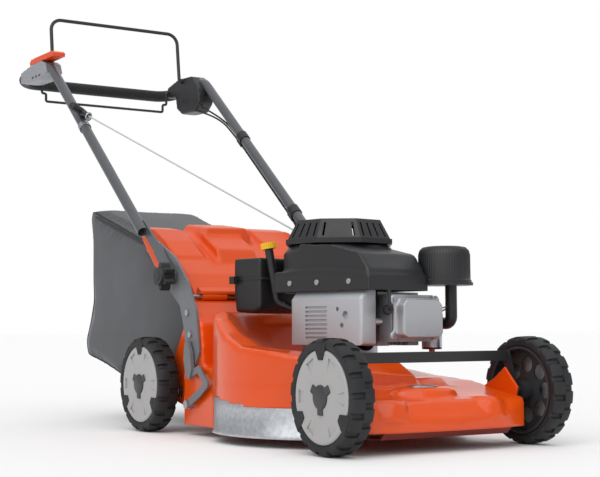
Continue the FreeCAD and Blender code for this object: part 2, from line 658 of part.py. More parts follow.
def handle_tube():
    """One bent steel tube with a flat foot on each end that folds about the knob bolt."""
    bore = rod(handle_path(), HANDLE_TUBE_RADIUS - HANDLE_TUBE_WALL, HANDLE_BENDS)
    tube = tube_clearance().cut(bore)
    knee = (HANDLE_FOOT_Y - 57, HANDLE_FOOT_Z - 44)
    foot = fuse([
        strip((FOLD_Y, FOLD_Z), knee, FOOT_WIDTH, FOOT_X, FOOT_X + FOOT_PLATE),
        strip(knee, (HANDLE_FOOT_Y + 20, along_handle(HANDLE_FOOT_Y + 20)),
              24, FOOT_X, FOOT_X + FOOT_PLATE),
    ])
    hole = bar((FOOT_X - 1, FOLD_Y, FOLD_Z), (KNOB_X, FOLD_Y, FOLD_Z), KNOB_BOLT_RADIUS + SHAFT_CLEARANCE)
    foot = foot.cut(hole)
    return fuse([tube, foot, mirrored(foot)])


def grip_foam():
    """Foam sleeve over the cross bar and its bends."""
    level = (GRIP_Z - HANDLE_BEND_Z) / (GRIP_Y - HANDLE_BEND_Y)
    start = (HANDLE_X, GRIP_Y - GRIP_BEND_RADIUS, GRIP_Z - level * GRIP_BEND_RADIUS)
    end = (-start[0], start[1], start[2])
    corners = [start, (HANDLE_X, GRIP_Y, GRIP_Z), (-HANDLE_X, GRIP_Y, GRIP_Z), end]
    reach = GRIP_BEND_RADIUS - 0.05
    sleeve = rod(corners, GRIP_RADIUS, reach)
    core = rod(corners, HANDLE_TUBE_RADIUS, reach)
    return sleeve.cut(core)


def tube_clearance():
    return rod(handle_path(), HANDLE_TUBE_RADIUS, HANDLE_BENDS)


def pin_socket(x, y, z, radius):
    """Blind hole in a pod's inner face for a bail pin."""
    sign = 1 if x > 0 else -1
    return bar((x - sign, y, z), (x + sign * (PIN_DEPTH + 1), y, z), radius + SHAFT_CLEARANCE)


def pod_sockets(side):
    return [
        pin_socket(side * POD_INNER_X, BRAKE_PIVOT_Y, BRAKE_PIVOT_Z, BRAKE_ROD_RADIUS),
        pin_socket(side * POD_INNER_X, DRIVE_PIVOT_Y, DRIVE_PIVOT_Z, DRIVE_ROD_RADIUS),
    ]


def lever_housing():
    """Grey cast housing on the right end of the handle."""
    body = prism_x([
        (950, 905), (962, 932), (985, 940), (1050, 940), (1132, 932), (1132, 902), (1090, 896), (1000, 893),
    ], -HANDLE_X - 17, -POD_INNER_X)
    return cut(body, tube_clearance(), *pod_sockets(-1))


def control_box():
    """Black housing on the left that takes both control cables."""
    body = prism_x([
        (938, 862), (944, 905), (985, 944), (1060, 948), (1132, 932), (1132, 902), (1080, 896), (1072, 862),
        (1040, 842), (968, 840),
    ], POD_INNER_X, HANDLE_X + 2)
    clamp = prism_x([(985, 900), (985, 944), (1060, 944), (1060, 900)], HANDLE_X, HANDLE_X + 16)
    return cut(fuse([body, clamp]), tube_clearance(), *pod_sockets(1))


def bail_brake():
    """Engine brake bail: bent rod that is squeezed down onto the grip."""
    top = [(BRAKE_HALF_WIDTH, BRAKE_TOP_Y, BRAKE_TOP_Z), (-BRAKE_HALF_WIDTH, BRAKE_TOP_Y, BRAKE_TOP_Z)]
    end = POD_INNER_X + PIN_DEPTH
    turn = BRAKE_ROD_RADIUS + 1.5
    left = [(end, BRAKE_PIVOT_Y, BRAKE_PIVOT_Z), (BRAKE_HALF_WIDTH, BRAKE_PIVOT_Y, BRAKE_PIVOT_Z)]
    right = [(-x, y, z) for x, y, z in reversed(left)]
    return rod(left + top + right, BRAKE_ROD_RADIUS, [turn, 30, 30, turn])


def bail_drive():
    """Drive bail: cranked rod below the grip that is pulled up to engage the gearbox."""
    end = POD_INNER_X + PIN_DEPTH
    shoulder = POD_INNER_X - 9
    step_z = DRIVE_PIVOT_Z - DRIVE_DROP + 22
    low_z = DRIVE_PIVOT_Z - DRIVE_DROP
    left = [
        (end, DRIVE_PIVOT_Y, DRIVE_PIVOT_Z), (shoulder, DRIVE_PIVOT_Y, DRIVE_PIVOT_Z),
        (shoulder, DRIVE_PIVOT_Y, step_z), (DRIVE_HALF_WIDTH, DRIVE_PIVOT_Y, step_z),
        (DRIVE_HALF_WIDTH, DRIVE_PIVOT_Y, low_z),
    ]
    right = [(-x, y, z) for x, y, z in reversed(left)]
    return rod(left + right, DRIVE_ROD_RADIUS, 5.0)


def throttle_lever():
    """Orange thumb lever over the right housing, hinged at its front end."""
    cap = prism_x([
        (906, 942), (904, 950), (914, 956), (1040, 957), (1052, 952), (1052, 942),
    ], -HANDLE_X - 16, -HANDLE_X + 18)
    knob_end = prism_x([(1048, 942), (1048, 954), (1066, 960), (1080, 951), (1076, 943), (1060, 942)],
                       -HANDLE_X - 12, -HANDLE_X + 12)
    return fuse([cap, knob_end])


def handle_direction():
    run, rise = HANDLE_BEND_Y - HANDLE_FOOT_Y, HANDLE_BEND_Z - HANDLE_FOOT_Z
    length = math.hypot(run, rise)
    return V(0, run / length, rise / length)


def beside_tube(y, across):
    """Point under the left leg of the handle, at the cable's distance from the tube."""
    along = handle_direction()
    below = V(0, along.z, -along.y)
    spot = V(HANDLE_X, y, along_handle(y)) + below * CABLE_DROP + V(across, 0, 0)
    return (spot.x, spot.y, spot.z)


def cable_routes():
    """Two Bowden cables from the control box, under the left handle leg, to the engine and gearbox."""
    starts = [(208.0, 961.0, 842.0), (218.0, 948.0, 851.5)]
    offsets = (-4.0, 4.0)
    upper, lower = CLIP_SPOTS[0] + CLIP_RUN_OUT, CLIP_SPOTS[1] - CLIP_RUN_OUT
    brake = [starts[0], beside_tube(upper, offsets[0]), beside_tube(lower, offsets[0]), (212.0, 410.0, 397.0),
             (204.0, 340.0, 350.0), (202.0, 265.0, 322.0), (186.0, 190.0, 312.0), (146.0, 126.0, 308.0),
             (99.0, 80.0, 305.0)]
    drive = [starts[1], beside_tube(upper, offsets[1]), beside_tube(lower, offsets[1]), (206.0, 420.0, 372.0),
             (200.0, 372.0, 290.0), (190.0, 352.0, 210.0), (150.0, 352.0, 150.0), (90.0, 360.0, 128.0),
             (33.0, 366.0, 124.0)]
    return brake, drive


def cord_radii(points):
    """Arc radius at each inner point: 0.45 of the shorter run over the tangent of half the turn."""
    path = [V(*p) for p in points]
    radii = []
    for before, corner, after in zip(path, path[1:], path[2:]):
        into, out = corner - before, after - corner
        turn = into.getAngle(out)
        radii.append(0.45 * min(into.Length, out.Length) / math.tan(turn / 2.0))
    for held in (0, 1):
        radii[held] = min(radii[held], CLIP_BEND_RADIUS)
    return radii


def control_cables():
    solids = []
    for name, route in zip(("brake", "drive"), cable_routes()):
        radii = cord_radii(route)
        solids.append(rod(route, CABLE_RADIUS, radii))
        print("cable", name, "arc radii", [round(r) for r in radii])
    return Part.makeCompound(solids)


def cable_clips():
    """Plastic clips that hold the cables under the left leg of the handle."""
    along = handle_direction()
    clips = []
    for y in CLIP_SPOTS:
        centre = V(HANDLE_X, y, along_handle(y))
        below = V(0, along.z, -along.y)
        start = centre - along * (CLIP_LENGTH / 2.0)
        sleeve = Part.makeCylinder(HANDLE_TUBE_RADIUS + 3, CLIP_LENGTH, start, along)
        loops = [Part.makeCylinder(CABLE_RADIUS + 2.5, CLIP_LENGTH, start + below * CABLE_DROP + V(dx, 0, 0), along)
                 for dx in (-4.0, 4.0)]
        long_start = centre - along * CLIP_LENGTH
        bores = [Part.makeCylinder(CABLE_RADIUS + FIT_GAP, 2 * CLIP_LENGTH,
                                   long_start + below * CABLE_DROP + V(dx, 0, 0), along) for dx in (-4.0, 4.0)]
        tube = Part.makeCylinder(HANDLE_TUBE_RADIUS, 2 * CLIP_LENGTH, long_start, along)
        clips.append(cut(fuse([sleeve] + loops), tube, *bores))
    return Part.makeCompound(clips)


def rope_guide():
    """Wire eye on the right leg of the handle that the starter rope runs through."""
    exit_point, eye = V(*ROPE_EXIT), V(*ROPE_EYE)
    along = (eye - exit_point).normalize()
    loop = Part.makeTorus(EYE_RADIUS, EYE_WIRE, eye, along)
    foot = V(-HANDLE_X, HANDLE_FOOT_Y, HANDLE_FOOT_Z)
    tube_spot = foot + handle_direction() * (eye - foot).dot(handle_direction())
    sleeve = Part.makeCylinder(HANDLE_TUBE_RADIUS + 2.5, 16, tube_spot - handle_direction() * 8, handle_direction())
    stem = bar(ROPE_EYE, tuple(tube_spot), EYE_WIRE)
    inner = Part.makeCylinder(EYE_RADIUS - EYE_WIRE, 30, eye - along * 15, along)
    tube = Part.makeCylinder(HANDLE_TUBE_RADIUS, 60, tube_spot - handle_direction() * 30, handle_direction())
    return cut(fuse([loop, sleeve, cut(stem, inner)]), tube)


def rope_direction():
    return (V(*ROPE_EYE) - V(*ROPE_EXIT)).normalize()


def starter_rope():
    """Taut starter rope between the recoil starter and the eye, up to the foot of the grip."""
    start = V(*ROPE_EXIT)
    end = V(*ROPE_EYE) + rope_direction() * GRIP_SETBACK
    return Part.makeCylinder(ROPE_RADIUS, (end - start).Length, start, end - start)


def starter_grip():
    """Black T grip that rests just above the eye."""
    along = rope_direction()
    foot = V(*ROPE_EYE) + along * GRIP_SETBACK
    stem = Part.makeCone(6, 10, STARTER_GRIP_STEM, foot, along)
    tilt = V(0.94, 0, 0.34)
    across = (tilt - along * along.dot(tilt)).normalize()
    centre = foot + along * (STARTER_GRIP_STEM + 5)
    cross_bar = Part.makeCylinder(11, STARTER_GRIP_LENGTH, centre - across * (STARTER_GRIP_LENGTH / 2.0), across)
    return fuse([stem, cross_bar])


# ================================================================ height lever


def height_lever():
    """Bent steel lever with a thumb plate that sets the cutting height."""
    x0, x1 = LEVER_X, LEVER_X + LEVER_PLATE
    arm = fuse([
        strip(LEVER_PIVOT, (146, 92), 16, x0, x1), strip((146, 92), (116, 112), 16, x0, x1),
        strip((116, 112), (150, 142), 16, x0, x1), strip((150, 142), (182, 132), 14, x0, x1),
    ])
    thumb = prism_x([(182, 120), (196, 124), (208, 160), (204, 196), (192, 202), (178, 176), (172, 140)], x0, x1 + 4)
    hole = bar((x0 - 1, *LEVER_PIVOT), (x1 + 1, *LEVER_PIVOT), KNOB_BOLT_RADIUS + SHAFT_CLEARANCE)
    return mirrored(fuse([arm, thumb]).cut(hole))


def lever_stud():
    """Shouldered stud on the right side of the housing that the height lever turns on."""
    x_end = LEVER_X + LEVER_PLATE
    shoulder = bar((HOUSING_HALF_WIDTH, *LEVER_PIVOT), (LEVER_X - 0.5, *LEVER_PIVOT), 10)
    pin = bar((LEVER_X - 0.5, *LEVER_PIVOT), (x_end + 0.5, *LEVER_PIVOT), KNOB_BOLT_RADIUS)
    head = bar((x_end + 0.5, *LEVER_PIVOT), (x_end + 4, *LEVER_PIVOT), 9)
    return mirrored(fuse([shoulder, pin, head]))


# ================================================================ engine

def head_block():
    """Box of the cylinder head."""
    return box(HEAD_RIGHT, HEAD_LEFT, HEAD_FRONT, HEAD_REAR,
               CYLINDER_Z - HEAD_HALF_HEIGHT, CYLINDER_Z + HEAD_HALF_HEIGHT)


def engine_block():
    """Aluminium crankcase with its finned cylinder and head in one casting."""
    half = HEAD_HALF_HEIGHT
    case_z = ENGINE_BASE_Z + CASE_FOOT_THICKNESS
    base = Part.makeCylinder(CASE_FOOT_RADIUS, CASE_FOOT_THICKNESS, V(0, 0, ENGINE_BASE_Z))
    case = Part.makeCylinder(CASE_RADIUS, CASE_HEIGHT, V(0, 0, case_z))
    barrel = box(-half, half, -175, -60, CYLINDER_Z - half, CYLINDER_Z + half)
    fins = [box(HEAD_RIGHT + 2, HEAD_LEFT - 2, y, y + FIN_THICKNESS, CYLINDER_Z - half - 8, CYLINDER_Z + half + 6)
            for y in range(FIN_FIRST_Y, FIN_LAST_Y, FIN_PITCH)]
    sump = Part.makeCylinder(CRANK_WEB_RADIUS + CRANKCASE_GAP, CRANK_WEB_TOP - CRANK_WEB_BOTTOM + 20,
                             V(0, 0, CRANK_WEB_BOTTOM - 10))
    bore = Part.makeCylinder(BORE_RADIUS, 150, V(0, -180, CYLINDER_Z - 31), V(0, 1, 0))
    shaft = Part.makeCylinder(CRANK_RADIUS + SHAFT_CLEARANCE, 300, V(0, 0, 100))
    block = cut(fuse([base, case, barrel, head_block()] + fins), sump, shaft)
    return block.cut(bore.common(box(-40, 40, -165, -40, CYLINDER_Z - 70, CYLINDER_Z + 10)))


def cover_screw_spots():
    return [(x, z) for x in (COVER_RIGHT, COVER_LEFT)
            for z in (CYLINDER_Z - COVER_SCREW_LOW, CYLINDER_Z + COVER_SCREW_HIGH)]


def valve_cover():
    """Pressed cover over the valves with four screw ears."""
    joint = HEAD_FRONT - COVER_FLANGE
    flange = box(COVER_RIGHT, COVER_LEFT + 2, joint, HEAD_FRONT, CYLINDER_Z - 38, CYLINDER_Z + 40)
    ears = [Part.makeCylinder(COVER_EAR_RADIUS, COVER_FLANGE, V(x, joint, z), V(0, 1, 0))
            for x, z in cover_screw_spots()]
    face = prism_y([
        (-44, CYLINDER_Z - 30), (56, CYLINDER_Z - 30), (58, CYLINDER_Z + 26), (48, CYLINDER_Z + 34),
        (-36, CYLINDER_Z + 34), (-46, CYLINDER_Z + 26),
    ], HEAD_FRONT - COVER_DEPTH, joint)
    return fuse([flange, face] + ears)


def valve_cover_screws():
    """Four screws of the valve cover, in the machine's place."""
    joint = HEAD_FRONT - COVER_FLANGE
    screws = [Part.makeCylinder(COVER_SCREW_RADIUS, 4, V(x, joint - 4, z), V(0, 1, 0))
              for x, z in cover_screw_spots()]
    return in_engine_frame(Part.makeCompound(screws))


def muffler():
    """Steel muffler box with its pipe from the exhaust port."""
    x0, x1, y0, y1, z0, z1 = MUFFLER_BOX
    wall = MUFFLER_WALL
    inside = box(x0 + wall, x1 - wall, y0 + wall, y1 - wall, z0 + wall, z1 - wall)
    start = V(*MUFFLER_PIPE_START)
    end = V(*MUFFLER_PIPE_END)
    run = (end - start).normalize()
    pipe = bar(tuple(start), tuple(end), MUFFLER_PIPE_RADIUS)
    bore = bar(tuple(start), tuple(end + run * 2.24), MUFFLER_PIPE_RADIUS - MUFFLER_WALL)
    shell = box(*MUFFLER_BOX).cut(inside)
    return cut(fuse([shell, pipe.cut(inside)]), head_block(), bore)


def muffler_cover():
    """Pressed steel heat shield with louvres."""
    def form(inset):
        inner = -80 + (2 if inset else 0)
        face = SHIELD_FACE_X + inset
        low = SHIELD_BOTTOM + inset
        high = SHIELD_TOP - inset
        outline = [(inner, low), (face, low), (face, 280), (-104, high), (inner, high)]
        return prism_y(outline, SHIELD_FRONT_Y + inset, SHIELD_REAR_Y - inset)
    shield = form(0).cut(form(SHIELD_WALL))
    for number in range(LOUVRES):
        z = LOUVRE_FIRST_Z + number * LOUVRE_PITCH
        shield = shield.cut(box(-130, -110, -174, -98, z, z + LOUVRE_HEIGHT))
    return shield


def carburettor():
    """Carburettor on the left of the head with its float bowl."""
    x, y = CARB_BOWL_CENTRE
    body = box(HEAD_LEFT, 104, -192, -158, 218, 254)
    throat = bar((HEAD_LEFT, INTAKE_Y, INTAKE_Z), (106, INTAKE_Y, INTAKE_Z), 15)
    bowl = Part.makeCylinder(CARB_BOWL_RADIUS, CARB_BOWL_HEIGHT, V(x, y, CARB_BOWL_BOTTOM))
    drain = Part.makeCylinder(5, 14, V(x, y, CARB_BOWL_BOTTOM - 14))
    return fuse([body, throat, bowl, drain]).cut(box(0, HEAD_LEFT, -230, -90, 150, 320))


def air_cleaner_base():
    """Base plate and intake elbow of the air cleaner."""
    x, y = AIR_CENTRE
    plate = Part.makeCylinder(AIR_BASE_RADIUS, AIR_BASE_THICKNESS, V(x, y, AIR_BASE_Z))
    elbow = rod([(x + 20, y, AIR_BASE_Z), (x + 20, y, INTAKE_Z), (x + 20, INTAKE_Y, INTAKE_Z)], 12, 14)
    return fuse([plate, elbow])


def air_cleaner_cover():
    """Ribbed cap of the air cleaner."""
    x, y = AIR_CENTRE
    low = AIR_BASE_Z + AIR_BASE_THICKNESS
    top = AIR_CAP_TOP
    outer = AIR_CAP_RADIUS
    inner = AIR_CAP_RADIUS - AIR_CAP_WALL
    cap = turned([(0, low), (outer, low), (outer, top - 11), (outer - 7, top), (0, top)], (x, y, 0))
    roof = top - AIR_CAP_WALL
    hollow = turned([(0, low), (inner, low), (inner, top - 13), (inner - 6.5, roof), (0, roof)], (x, y, 0))
    return cap.cut(hollow)


def shroud_form(inset):
    low = SHROUD_BOTTOM - (5 if inset else 0)
    wide = SHROUD_RADIUS - inset
    top = SHROUD_TOP - inset
    drum = turned([(0, low), (wide, low), (wide, 380), (wide - 12, top), (0, top)])
    nose = prism_x([
        (0, low), (0, top), (-95, 394 - inset), (-180 + inset, 376 - inset), (SHROUD_NOSE_Y + inset, 340 - inset),
        (SHROUD_NOSE_Y + inset, low),
    ], -SHROUD_RADIUS - 2 + inset, 44 - inset)
    return fuse([drum, nose])


def blower_shroud():
    """Black plastic shroud that carries cooling air from the fan to the fins."""
    shell = shroud_form(0).cut(shroud_form(SHROUD_WALL))
    return shell.cut(Part.makeCylinder(FAN_OPENING_RADIUS, 30, V(0, 0, SHROUD_TOP - 15)))


def octagon(radius, z):
    turn = math.pi / 8
    return [(radius * math.cos(turn + k * math.pi / 4), radius * math.sin(turn + k * math.pi / 4), z)
            for k in range(8)]


def octagon_frustum(low_radius, low_z, top_radius, top_z):
    sections = [polygon(octagon(low_radius, low_z)), polygon(octagon(top_radius, top_z))]
    return Part.makeLoft(sections, True, True)


def recoil_cover():
    """Recoil starter housing: eight-sided cap with a grille of upright slots."""
    low = SHROUD_TOP + RECOIL_SKIRT_HEIGHT
    top = SHROUD_TOP + RECOIL_HEIGHT
    wall = RECOIL_WALL
    skirt = prism_z([(x, y) for x, y, z in octagon(RECOIL_SKIRT_RADIUS, 0)], SHROUD_TOP, low)
    dome = octagon_frustum(RECOIL_LOW_RADIUS, low, RECOIL_TOP_RADIUS, top)
    hollow = octagon_frustum(RECOIL_LOW_RADIUS - wall, low - 2, RECOIL_TOP_RADIUS - wall, top - wall)
    under = Part.makeCylinder(100, 12, V(0, 0, SHROUD_TOP))
    cap = cut(fuse([skirt, dome]), hollow, under)
    half = RECOIL_SLOT_WIDTH / 2.0
    for number in range(RECOIL_SLOTS):
        if number % 8 in (3, 4):
            continue
        slot = box(84, 124, -half, half, low + 4, top - 8)
        slot.rotate(V(0, 0, 0), V(0, 0, 1), 360.0 * (number + 0.5) / RECOIL_SLOTS)
        cap = cap.cut(slot)
    return cap


def fuel_tank():
    """Blow-moulded fuel tank behind the engine."""
    x0, x1, y0, y1, z0, z1 = TANK_BOX
    wall = TANK_WALL
    x, y = TANK_NECK
    tank = box(*TANK_BOX)
    tank = tank.makeFillet(TANK_CORNER, tank.Edges)
    seam = box(x0 - 3, x1 + 3, y0 - 3, y1 + 3, 330, 335)
    seam = seam.makeFillet(14, [e for e in seam.Edges if abs(e.Length - 5) < 0.01])
    tab = box(-122, -108, 196, 212, 322, 338)
    inside = box(x0 + wall, x1 - wall, y0 + wall, y1 - wall, z0 + wall, z1 - wall)
    inside = inside.makeFillet(TANK_CORNER - wall, inside.Edges)
    neck = Part.makeCylinder(TANK_NECK_RADIUS, 10, V(x, y, z1 - 6))
    return cut(fuse([tank, seam, tab]), inside, neck)


def fuel_cap():
    """Screw cap of the fuel tank."""
    x, y = TANK_NECK
    return Part.makeCylinder(FUEL_CAP_RADIUS, FUEL_CAP_HEIGHT, V(x, y, TANK_BOX[5]))


def oil_filler_tube():
    """Oil filler tube from the crankcase, leaning back."""
    tube = rod([FILLER_FOOT, FILLER_BEND, FILLER_TOP], FILLER_RADIUS, 20)
    return tube.cut(Part.makeCylinder(CASE_RADIUS, 400, V(0, 0, 0)))


def dipstick_cap():
    """Yellow ribbed oil cap with its dipstick."""
    top = V(*FILLER_TOP)
    axis = (top - V(*FILLER_BEND)).normalize()
    side = V(axis.z, 0, -axis.x).normalize()
    other = axis.cross(side)
    reach = OIL_CAP_RADIUS + 0.5
    cap = Part.makeCylinder(OIL_CAP_RADIUS, OIL_CAP_HEIGHT, top, axis)
    for number in range(OIL_CAP_RIBS):
        angle = 2 * math.pi * number / OIL_CAP_RIBS
        spot = top + side * (reach * math.cos(angle)) + other * (reach * math.sin(angle))
        cap = cap.cut(Part.makeCylinder(1.4, OIL_CAP_HEIGHT, spot, axis))
    return cap


def plug_axis():
    return V(-9, -12, 0).normalize()


def spark_plug():
    """Spark plug in the right front of the head."""
    seat = V(*PLUG_SEAT)
    hexagon = Part.makeCylinder(PLUG_HEX_RADIUS, PLUG_HEX_LENGTH, seat, plug_axis())
    tip = Part.makeCylinder(PLUG_TIP_RADIUS, PLUG_TIP_LENGTH, seat, plug_axis())
    return fuse([hexagon, tip]).cut(head_block())


def plug_lead():
    """Rubber boot and ignition lead up to the shroud."""
    foot = V(*PLUG_SEAT) + plug_axis() * PLUG_HEX_LENGTH
    tip = foot + plug_axis() * 22
    boot = Part.makeCone(10, 8, BOOT_LENGTH, foot, plug_axis())
    path = [tuple(tip - plug_axis() * 8), tuple(tip + plug_axis() * 6)] + list(LEAD_PATH)
    socket = Part.makeCylinder(PLUG_TIP_RADIUS, 21, foot, plug_axis())
    return fuse([boot, rod(path, LEAD_RADIUS, 7)]).cut(socket)


def crankshaft():
    """Vertical crankshaft with its webs."""
    low = BLADE_Z + BLADE_THICKNESS + BLADE_SEAT
    web = CRANK_WEB_THICKNESS
    shaft = Part.makeCylinder(CRANK_RADIUS, CRANK_TOP - low, V(0, 0, low))
    low_web = Part.makeCylinder(CRANK_WEB_RADIUS, web, V(0, 0, CRANK_WEB_BOTTOM))
    top_web = Part.makeCylinder(CRANK_WEB_RADIUS, web, V(0, 0, CRANK_WEB_TOP - web))
    tip = Part.makeCylinder(BLADE_BOLT_RADIUS, 20, V(0, 0, low))
    return cut(fuse([shaft, low_web, top_web]), tip)


def flywheel_fan():
    """Flywheel with cooling vanes on top of the crankshaft."""
    disc_top = FLYWHEEL_Z + FLYWHEEL_THICKNESS
    disc = ring(FLYWHEEL_RADIUS, CRANK_RADIUS, FLYWHEEL_Z, disc_top)
    hub = ring(FLYWHEEL_HUB_RADIUS, CRANK_RADIUS, disc_top, FAN_TOP + 8)
    vanes = []
    for number in range(FAN_VANES):
        vane = box(40, FLYWHEEL_RADIUS - 2, -1.5, 1.5, disc_top, FAN_TOP)
        vane.rotate(V(0, 0, 0), V(0, 0, 1), 360.0 * number / FAN_VANES)
        vanes.append(vane)
    return fuse([disc, hub] + vanes)


def blade():
    """Rotary blade with raised air lifts at both trailing edges."""
    half = BLADE_LENGTH / 2.0
    width = BLADE_WIDTH / 2.0
    fold = width - LIFT_WIDTH
    thick = BLADE_THICKNESS
    arc = Part.makeCylinder(half, 60, V(0, 0, BLADE_Z - 10))
    flat = box(-half, half, -width, width, BLADE_Z, BLADE_Z + thick)
    lift = prism_x([
        (fold, BLADE_Z), (width, BLADE_Z + LIFT_WIDTH), (width, BLADE_Z + LIFT_WIDTH + 4), (fold, BLADE_Z + 4),
    ], half - 4 - LIFT_LENGTH, half - 4)
    other = lift.copy()
    other.rotate(V(0, 0, 0), V(0, 0, 1), 180)
    body = fuse([flat, lift, other]).common(arc)
    return body.cut(Part.makeCylinder(BLADE_BOLT_RADIUS, 60, V(0, 0, 0)))


def blade_adapter():
    """Adapter on the crankshaft end that seats the blade, with the drive pulley."""
    low = BLADE_Z + BLADE_THICKNESS
    seat_top = low + BLADE_SEAT
    wide = ADAPTER_RADIUS + 8
    neck_top = BELT_Z - PULLEY_HALF_WIDTH
    bore = Part.makeCylinder(CRANK_RADIUS, 60, V(0, 0, seat_top))
    hole = Part.makeCylinder(BLADE_BOLT_RADIUS, 20, V(0, 0, low - 1))
    seat = turned([
        (0, low), (wide, low), (wide, seat_top), (ADAPTER_RADIUS, seat_top), (ADAPTER_RADIUS, neck_top),
        (0, neck_top),
    ])
    return cut(fuse([seat, pulley(ENGINE_PULLEY_RADIUS)]), bore, hole)


def pulley(radius):
    """Vee pulley centred on the belt height, about its own axis."""
    half = PULLEY_HALF_WIDTH
    rim = radius + PULLEY_FLANGE
    return turned([
        (0, BELT_Z - half), (rim, BELT_Z - half), (rim, BELT_Z - 7), (radius, BELT_Z - 3.5),
        (radius, BELT_Z + 3.5), (rim, BELT_Z + 7), (rim, BELT_Z + half), (0, BELT_Z + half),
    ])


def blade_bolt():
    """Bolt and washer that hold the blade to its adapter."""
    shank = Part.makeCylinder(BLADE_BOLT_RADIUS, 22, V(0, 0, BLADE_Z))
    head = Part.makeCylinder(BLADE_BOLT_HEAD, 7, V(0, 0, BLADE_Z - 7))
    washer = Part.makeCylinder(BLADE_WASHER_RADIUS, 2.5, V(0, 0, BLADE_Z - 2.5))
    return fuse([shank, head, washer])


# ================================================================ transmission


def gearbox():
    """Aluminium gearbox that hangs on the rear axle, with its upright input shaft."""
    wide = GEARBOX_HALF_WIDTH
    body = bar((-wide, REAR_AXLE_Y, WHEEL_RADIUS), (wide, REAR_AXLE_Y, WHEEL_RADIUS), GEARBOX_RADIUS)
    nose = box(-20, 20, GEARBOX_PULLEY_Y - 18, REAR_AXLE_Y, BELT_Z + 12, BELT_Z + 26)
    far = wide + 8
    hole_radius = AXLE_RADIUS + SHAFT_CLEARANCE
    hole = bar((-far, REAR_AXLE_Y, WHEEL_RADIUS), (far, REAR_AXLE_Y, WHEEL_RADIUS), hole_radius)
    shaft = Part.makeCylinder(INPUT_SHAFT_RADIUS, 24, V(0, GEARBOX_PULLEY_Y, BELT_Z - 10))
    return fuse([fuse([body, nose]).cut(hole), shaft])


def gearbox_pulley():
    wheel = pulley(GEARBOX_PULLEY_RADIUS)
    bore = Part.makeCylinder(6 + SHAFT_CLEARANCE, 40, V(0, 0, BELT_Z - 20))
    wheel = wheel.cut(bore)
    wheel.translate(V(0, GEARBOX_PULLEY_Y, 0))
    return wheel


def drive_belt():
    """Belt loop round the two pulleys."""
    def loop(extra):
        r1, r2 = ENGINE_PULLEY_RADIUS + extra, GEARBOX_PULLEY_RADIUS + extra
        y1, y2 = ENGINE_Y, GEARBOX_PULLEY_Y
        lean = math.asin((r2 - r1) / (y2 - y1))
        c, s = math.cos(lean), math.sin(lean)
        corners = [(r1 * c, y1 - r1 * s), (r2 * c, y2 - r2 * s), (-r2 * c, y2 - r2 * s), (-r1 * c, y1 - r1 * s)]
        z0, height = BELT_Z - 3, 6
        ends = [Part.makeCylinder(r, height, V(0, y, z0)) for r, y in ((r1, y1), (r2, y2))]
        return fuse([prism_z(corners, z0, z0 + height)] + ends)
    return loop(BELT_THICKNESS + 0.2).cut(loop(0.2))


# ================================================================ flap and bag

def flap_form(inset):
    low = 80 if inset else 0
    half = FLAP_HALF_WIDTH - inset
    sheet = prism_x([
        (HINGE_Y + 12, HINGE_Z + 3 - inset), (275, 353 - inset), (350, 408 - inset), (437, 460 - inset),
        (500 + inset, 470 - inset), (500 + inset, 452 - low), (466, 411 - low), (425, 374 - low),
        (300, 302 - low), (HINGE_Y + 12, HINGE_Z - 12 - low),
    ], -half, half)
    hump = prism_x([
        (286, 356 - inset), (292, 384 - inset), (345, 436 - inset), (425, 481 - inset), (500 + inset, 490 - inset),
        (500 + inset, 440 - low), (440, 440 - low),
    ], -80 + inset, 105 - inset)
    return fuse([sheet, hump])


def rear_flap():
    """Painted flap over the discharge mouth and the front of the bag, on its hinge sleeves."""
    shell = flap_form(0).cut(flap_form(FLAP_WALL))
    sleeves = [bar((x, HINGE_Y, HINGE_Z), (x + 60, HINGE_Y, HINGE_Z), HINGE_ROD_RADIUS + 4) for x in (-180, 120)]
    tongues = [box(x, x + 60, HINGE_Y, HINGE_Y + 20, HINGE_Z, HINGE_Z + 3) for x in (-180, 120)]
    bore = bar((-200, HINGE_Y, HINGE_Z), (200, HINGE_Y, HINGE_Z), HINGE_ROD_RADIUS + SHAFT_CLEARANCE)
    return fuse([shell] + sleeves + tongues).cut(bore)


def bag_form(inset):
    wire = polygon([(0, y, z) for y, z in BAG_OUTLINE])
    if inset:
        wire = wire.makeOffset2D(-inset, 2)
    half = BAG_HALF_WIDTH - inset
    face = Part.Face(wire)
    face.translate(V(-half, 0, 0))
    return face.extrude(V(2 * half, 0, 0))


def bag_fabric():
    """Sewn fabric grass bag, open at the mouth."""
    top = V(0, *BAG_OUTLINE[0])
    foot = V(0, *BAG_OUTLINE[-1])
    down = (foot - top).normalize()
    inward = V(0, -down.z, down.y)
    corners = [
        top + down * BAG_MOUTH_HEM + inward * (BAG_WALL + 1), foot - down * BAG_MOUTH_HEM + inward * (BAG_WALL + 1),
        foot - down * BAG_MOUTH_HEM - inward * 40, top + down * BAG_MOUTH_HEM - inward * 40,
    ]
    half = BAG_HALF_WIDTH - BAG_MOUTH_HEM
    mouth = prism_x([(corner.y, corner.z) for corner in corners], -half, half)
    return cut(bag_form(0), bag_form(BAG_WALL), mouth)


def bag_frame():
    """Wire frame inside the bag: mouth hoop and two top rails."""
    reach = BAG_HALF_WIDTH - BAG_WALL - BAG_WIRE_RADIUS - 1
    top, foot = (268.0, 278.0), (384.0, 164.0)
    hoop = rod([(0, top[0], top[1]), (reach, top[0], top[1]), (reach, foot[0], foot[1]), (-reach, foot[0], foot[1]),
                (-reach, top[0], top[1]), (-0.001, top[0], top[1])], BAG_WIRE_RADIUS, 14)
    rail = rod([(reach, 278, 268), (reach, 320, 322), (reach, 541, 424), (reach, 850, 518)], BAG_WIRE_RADIUS, 30)
    cross = bar((-reach, 850, 518), (reach, 850, 518), BAG_WIRE_RADIUS)
    return fuse([hoop, rail, mirrored(rail), cross])


# ================================================================ the list of sub-parts

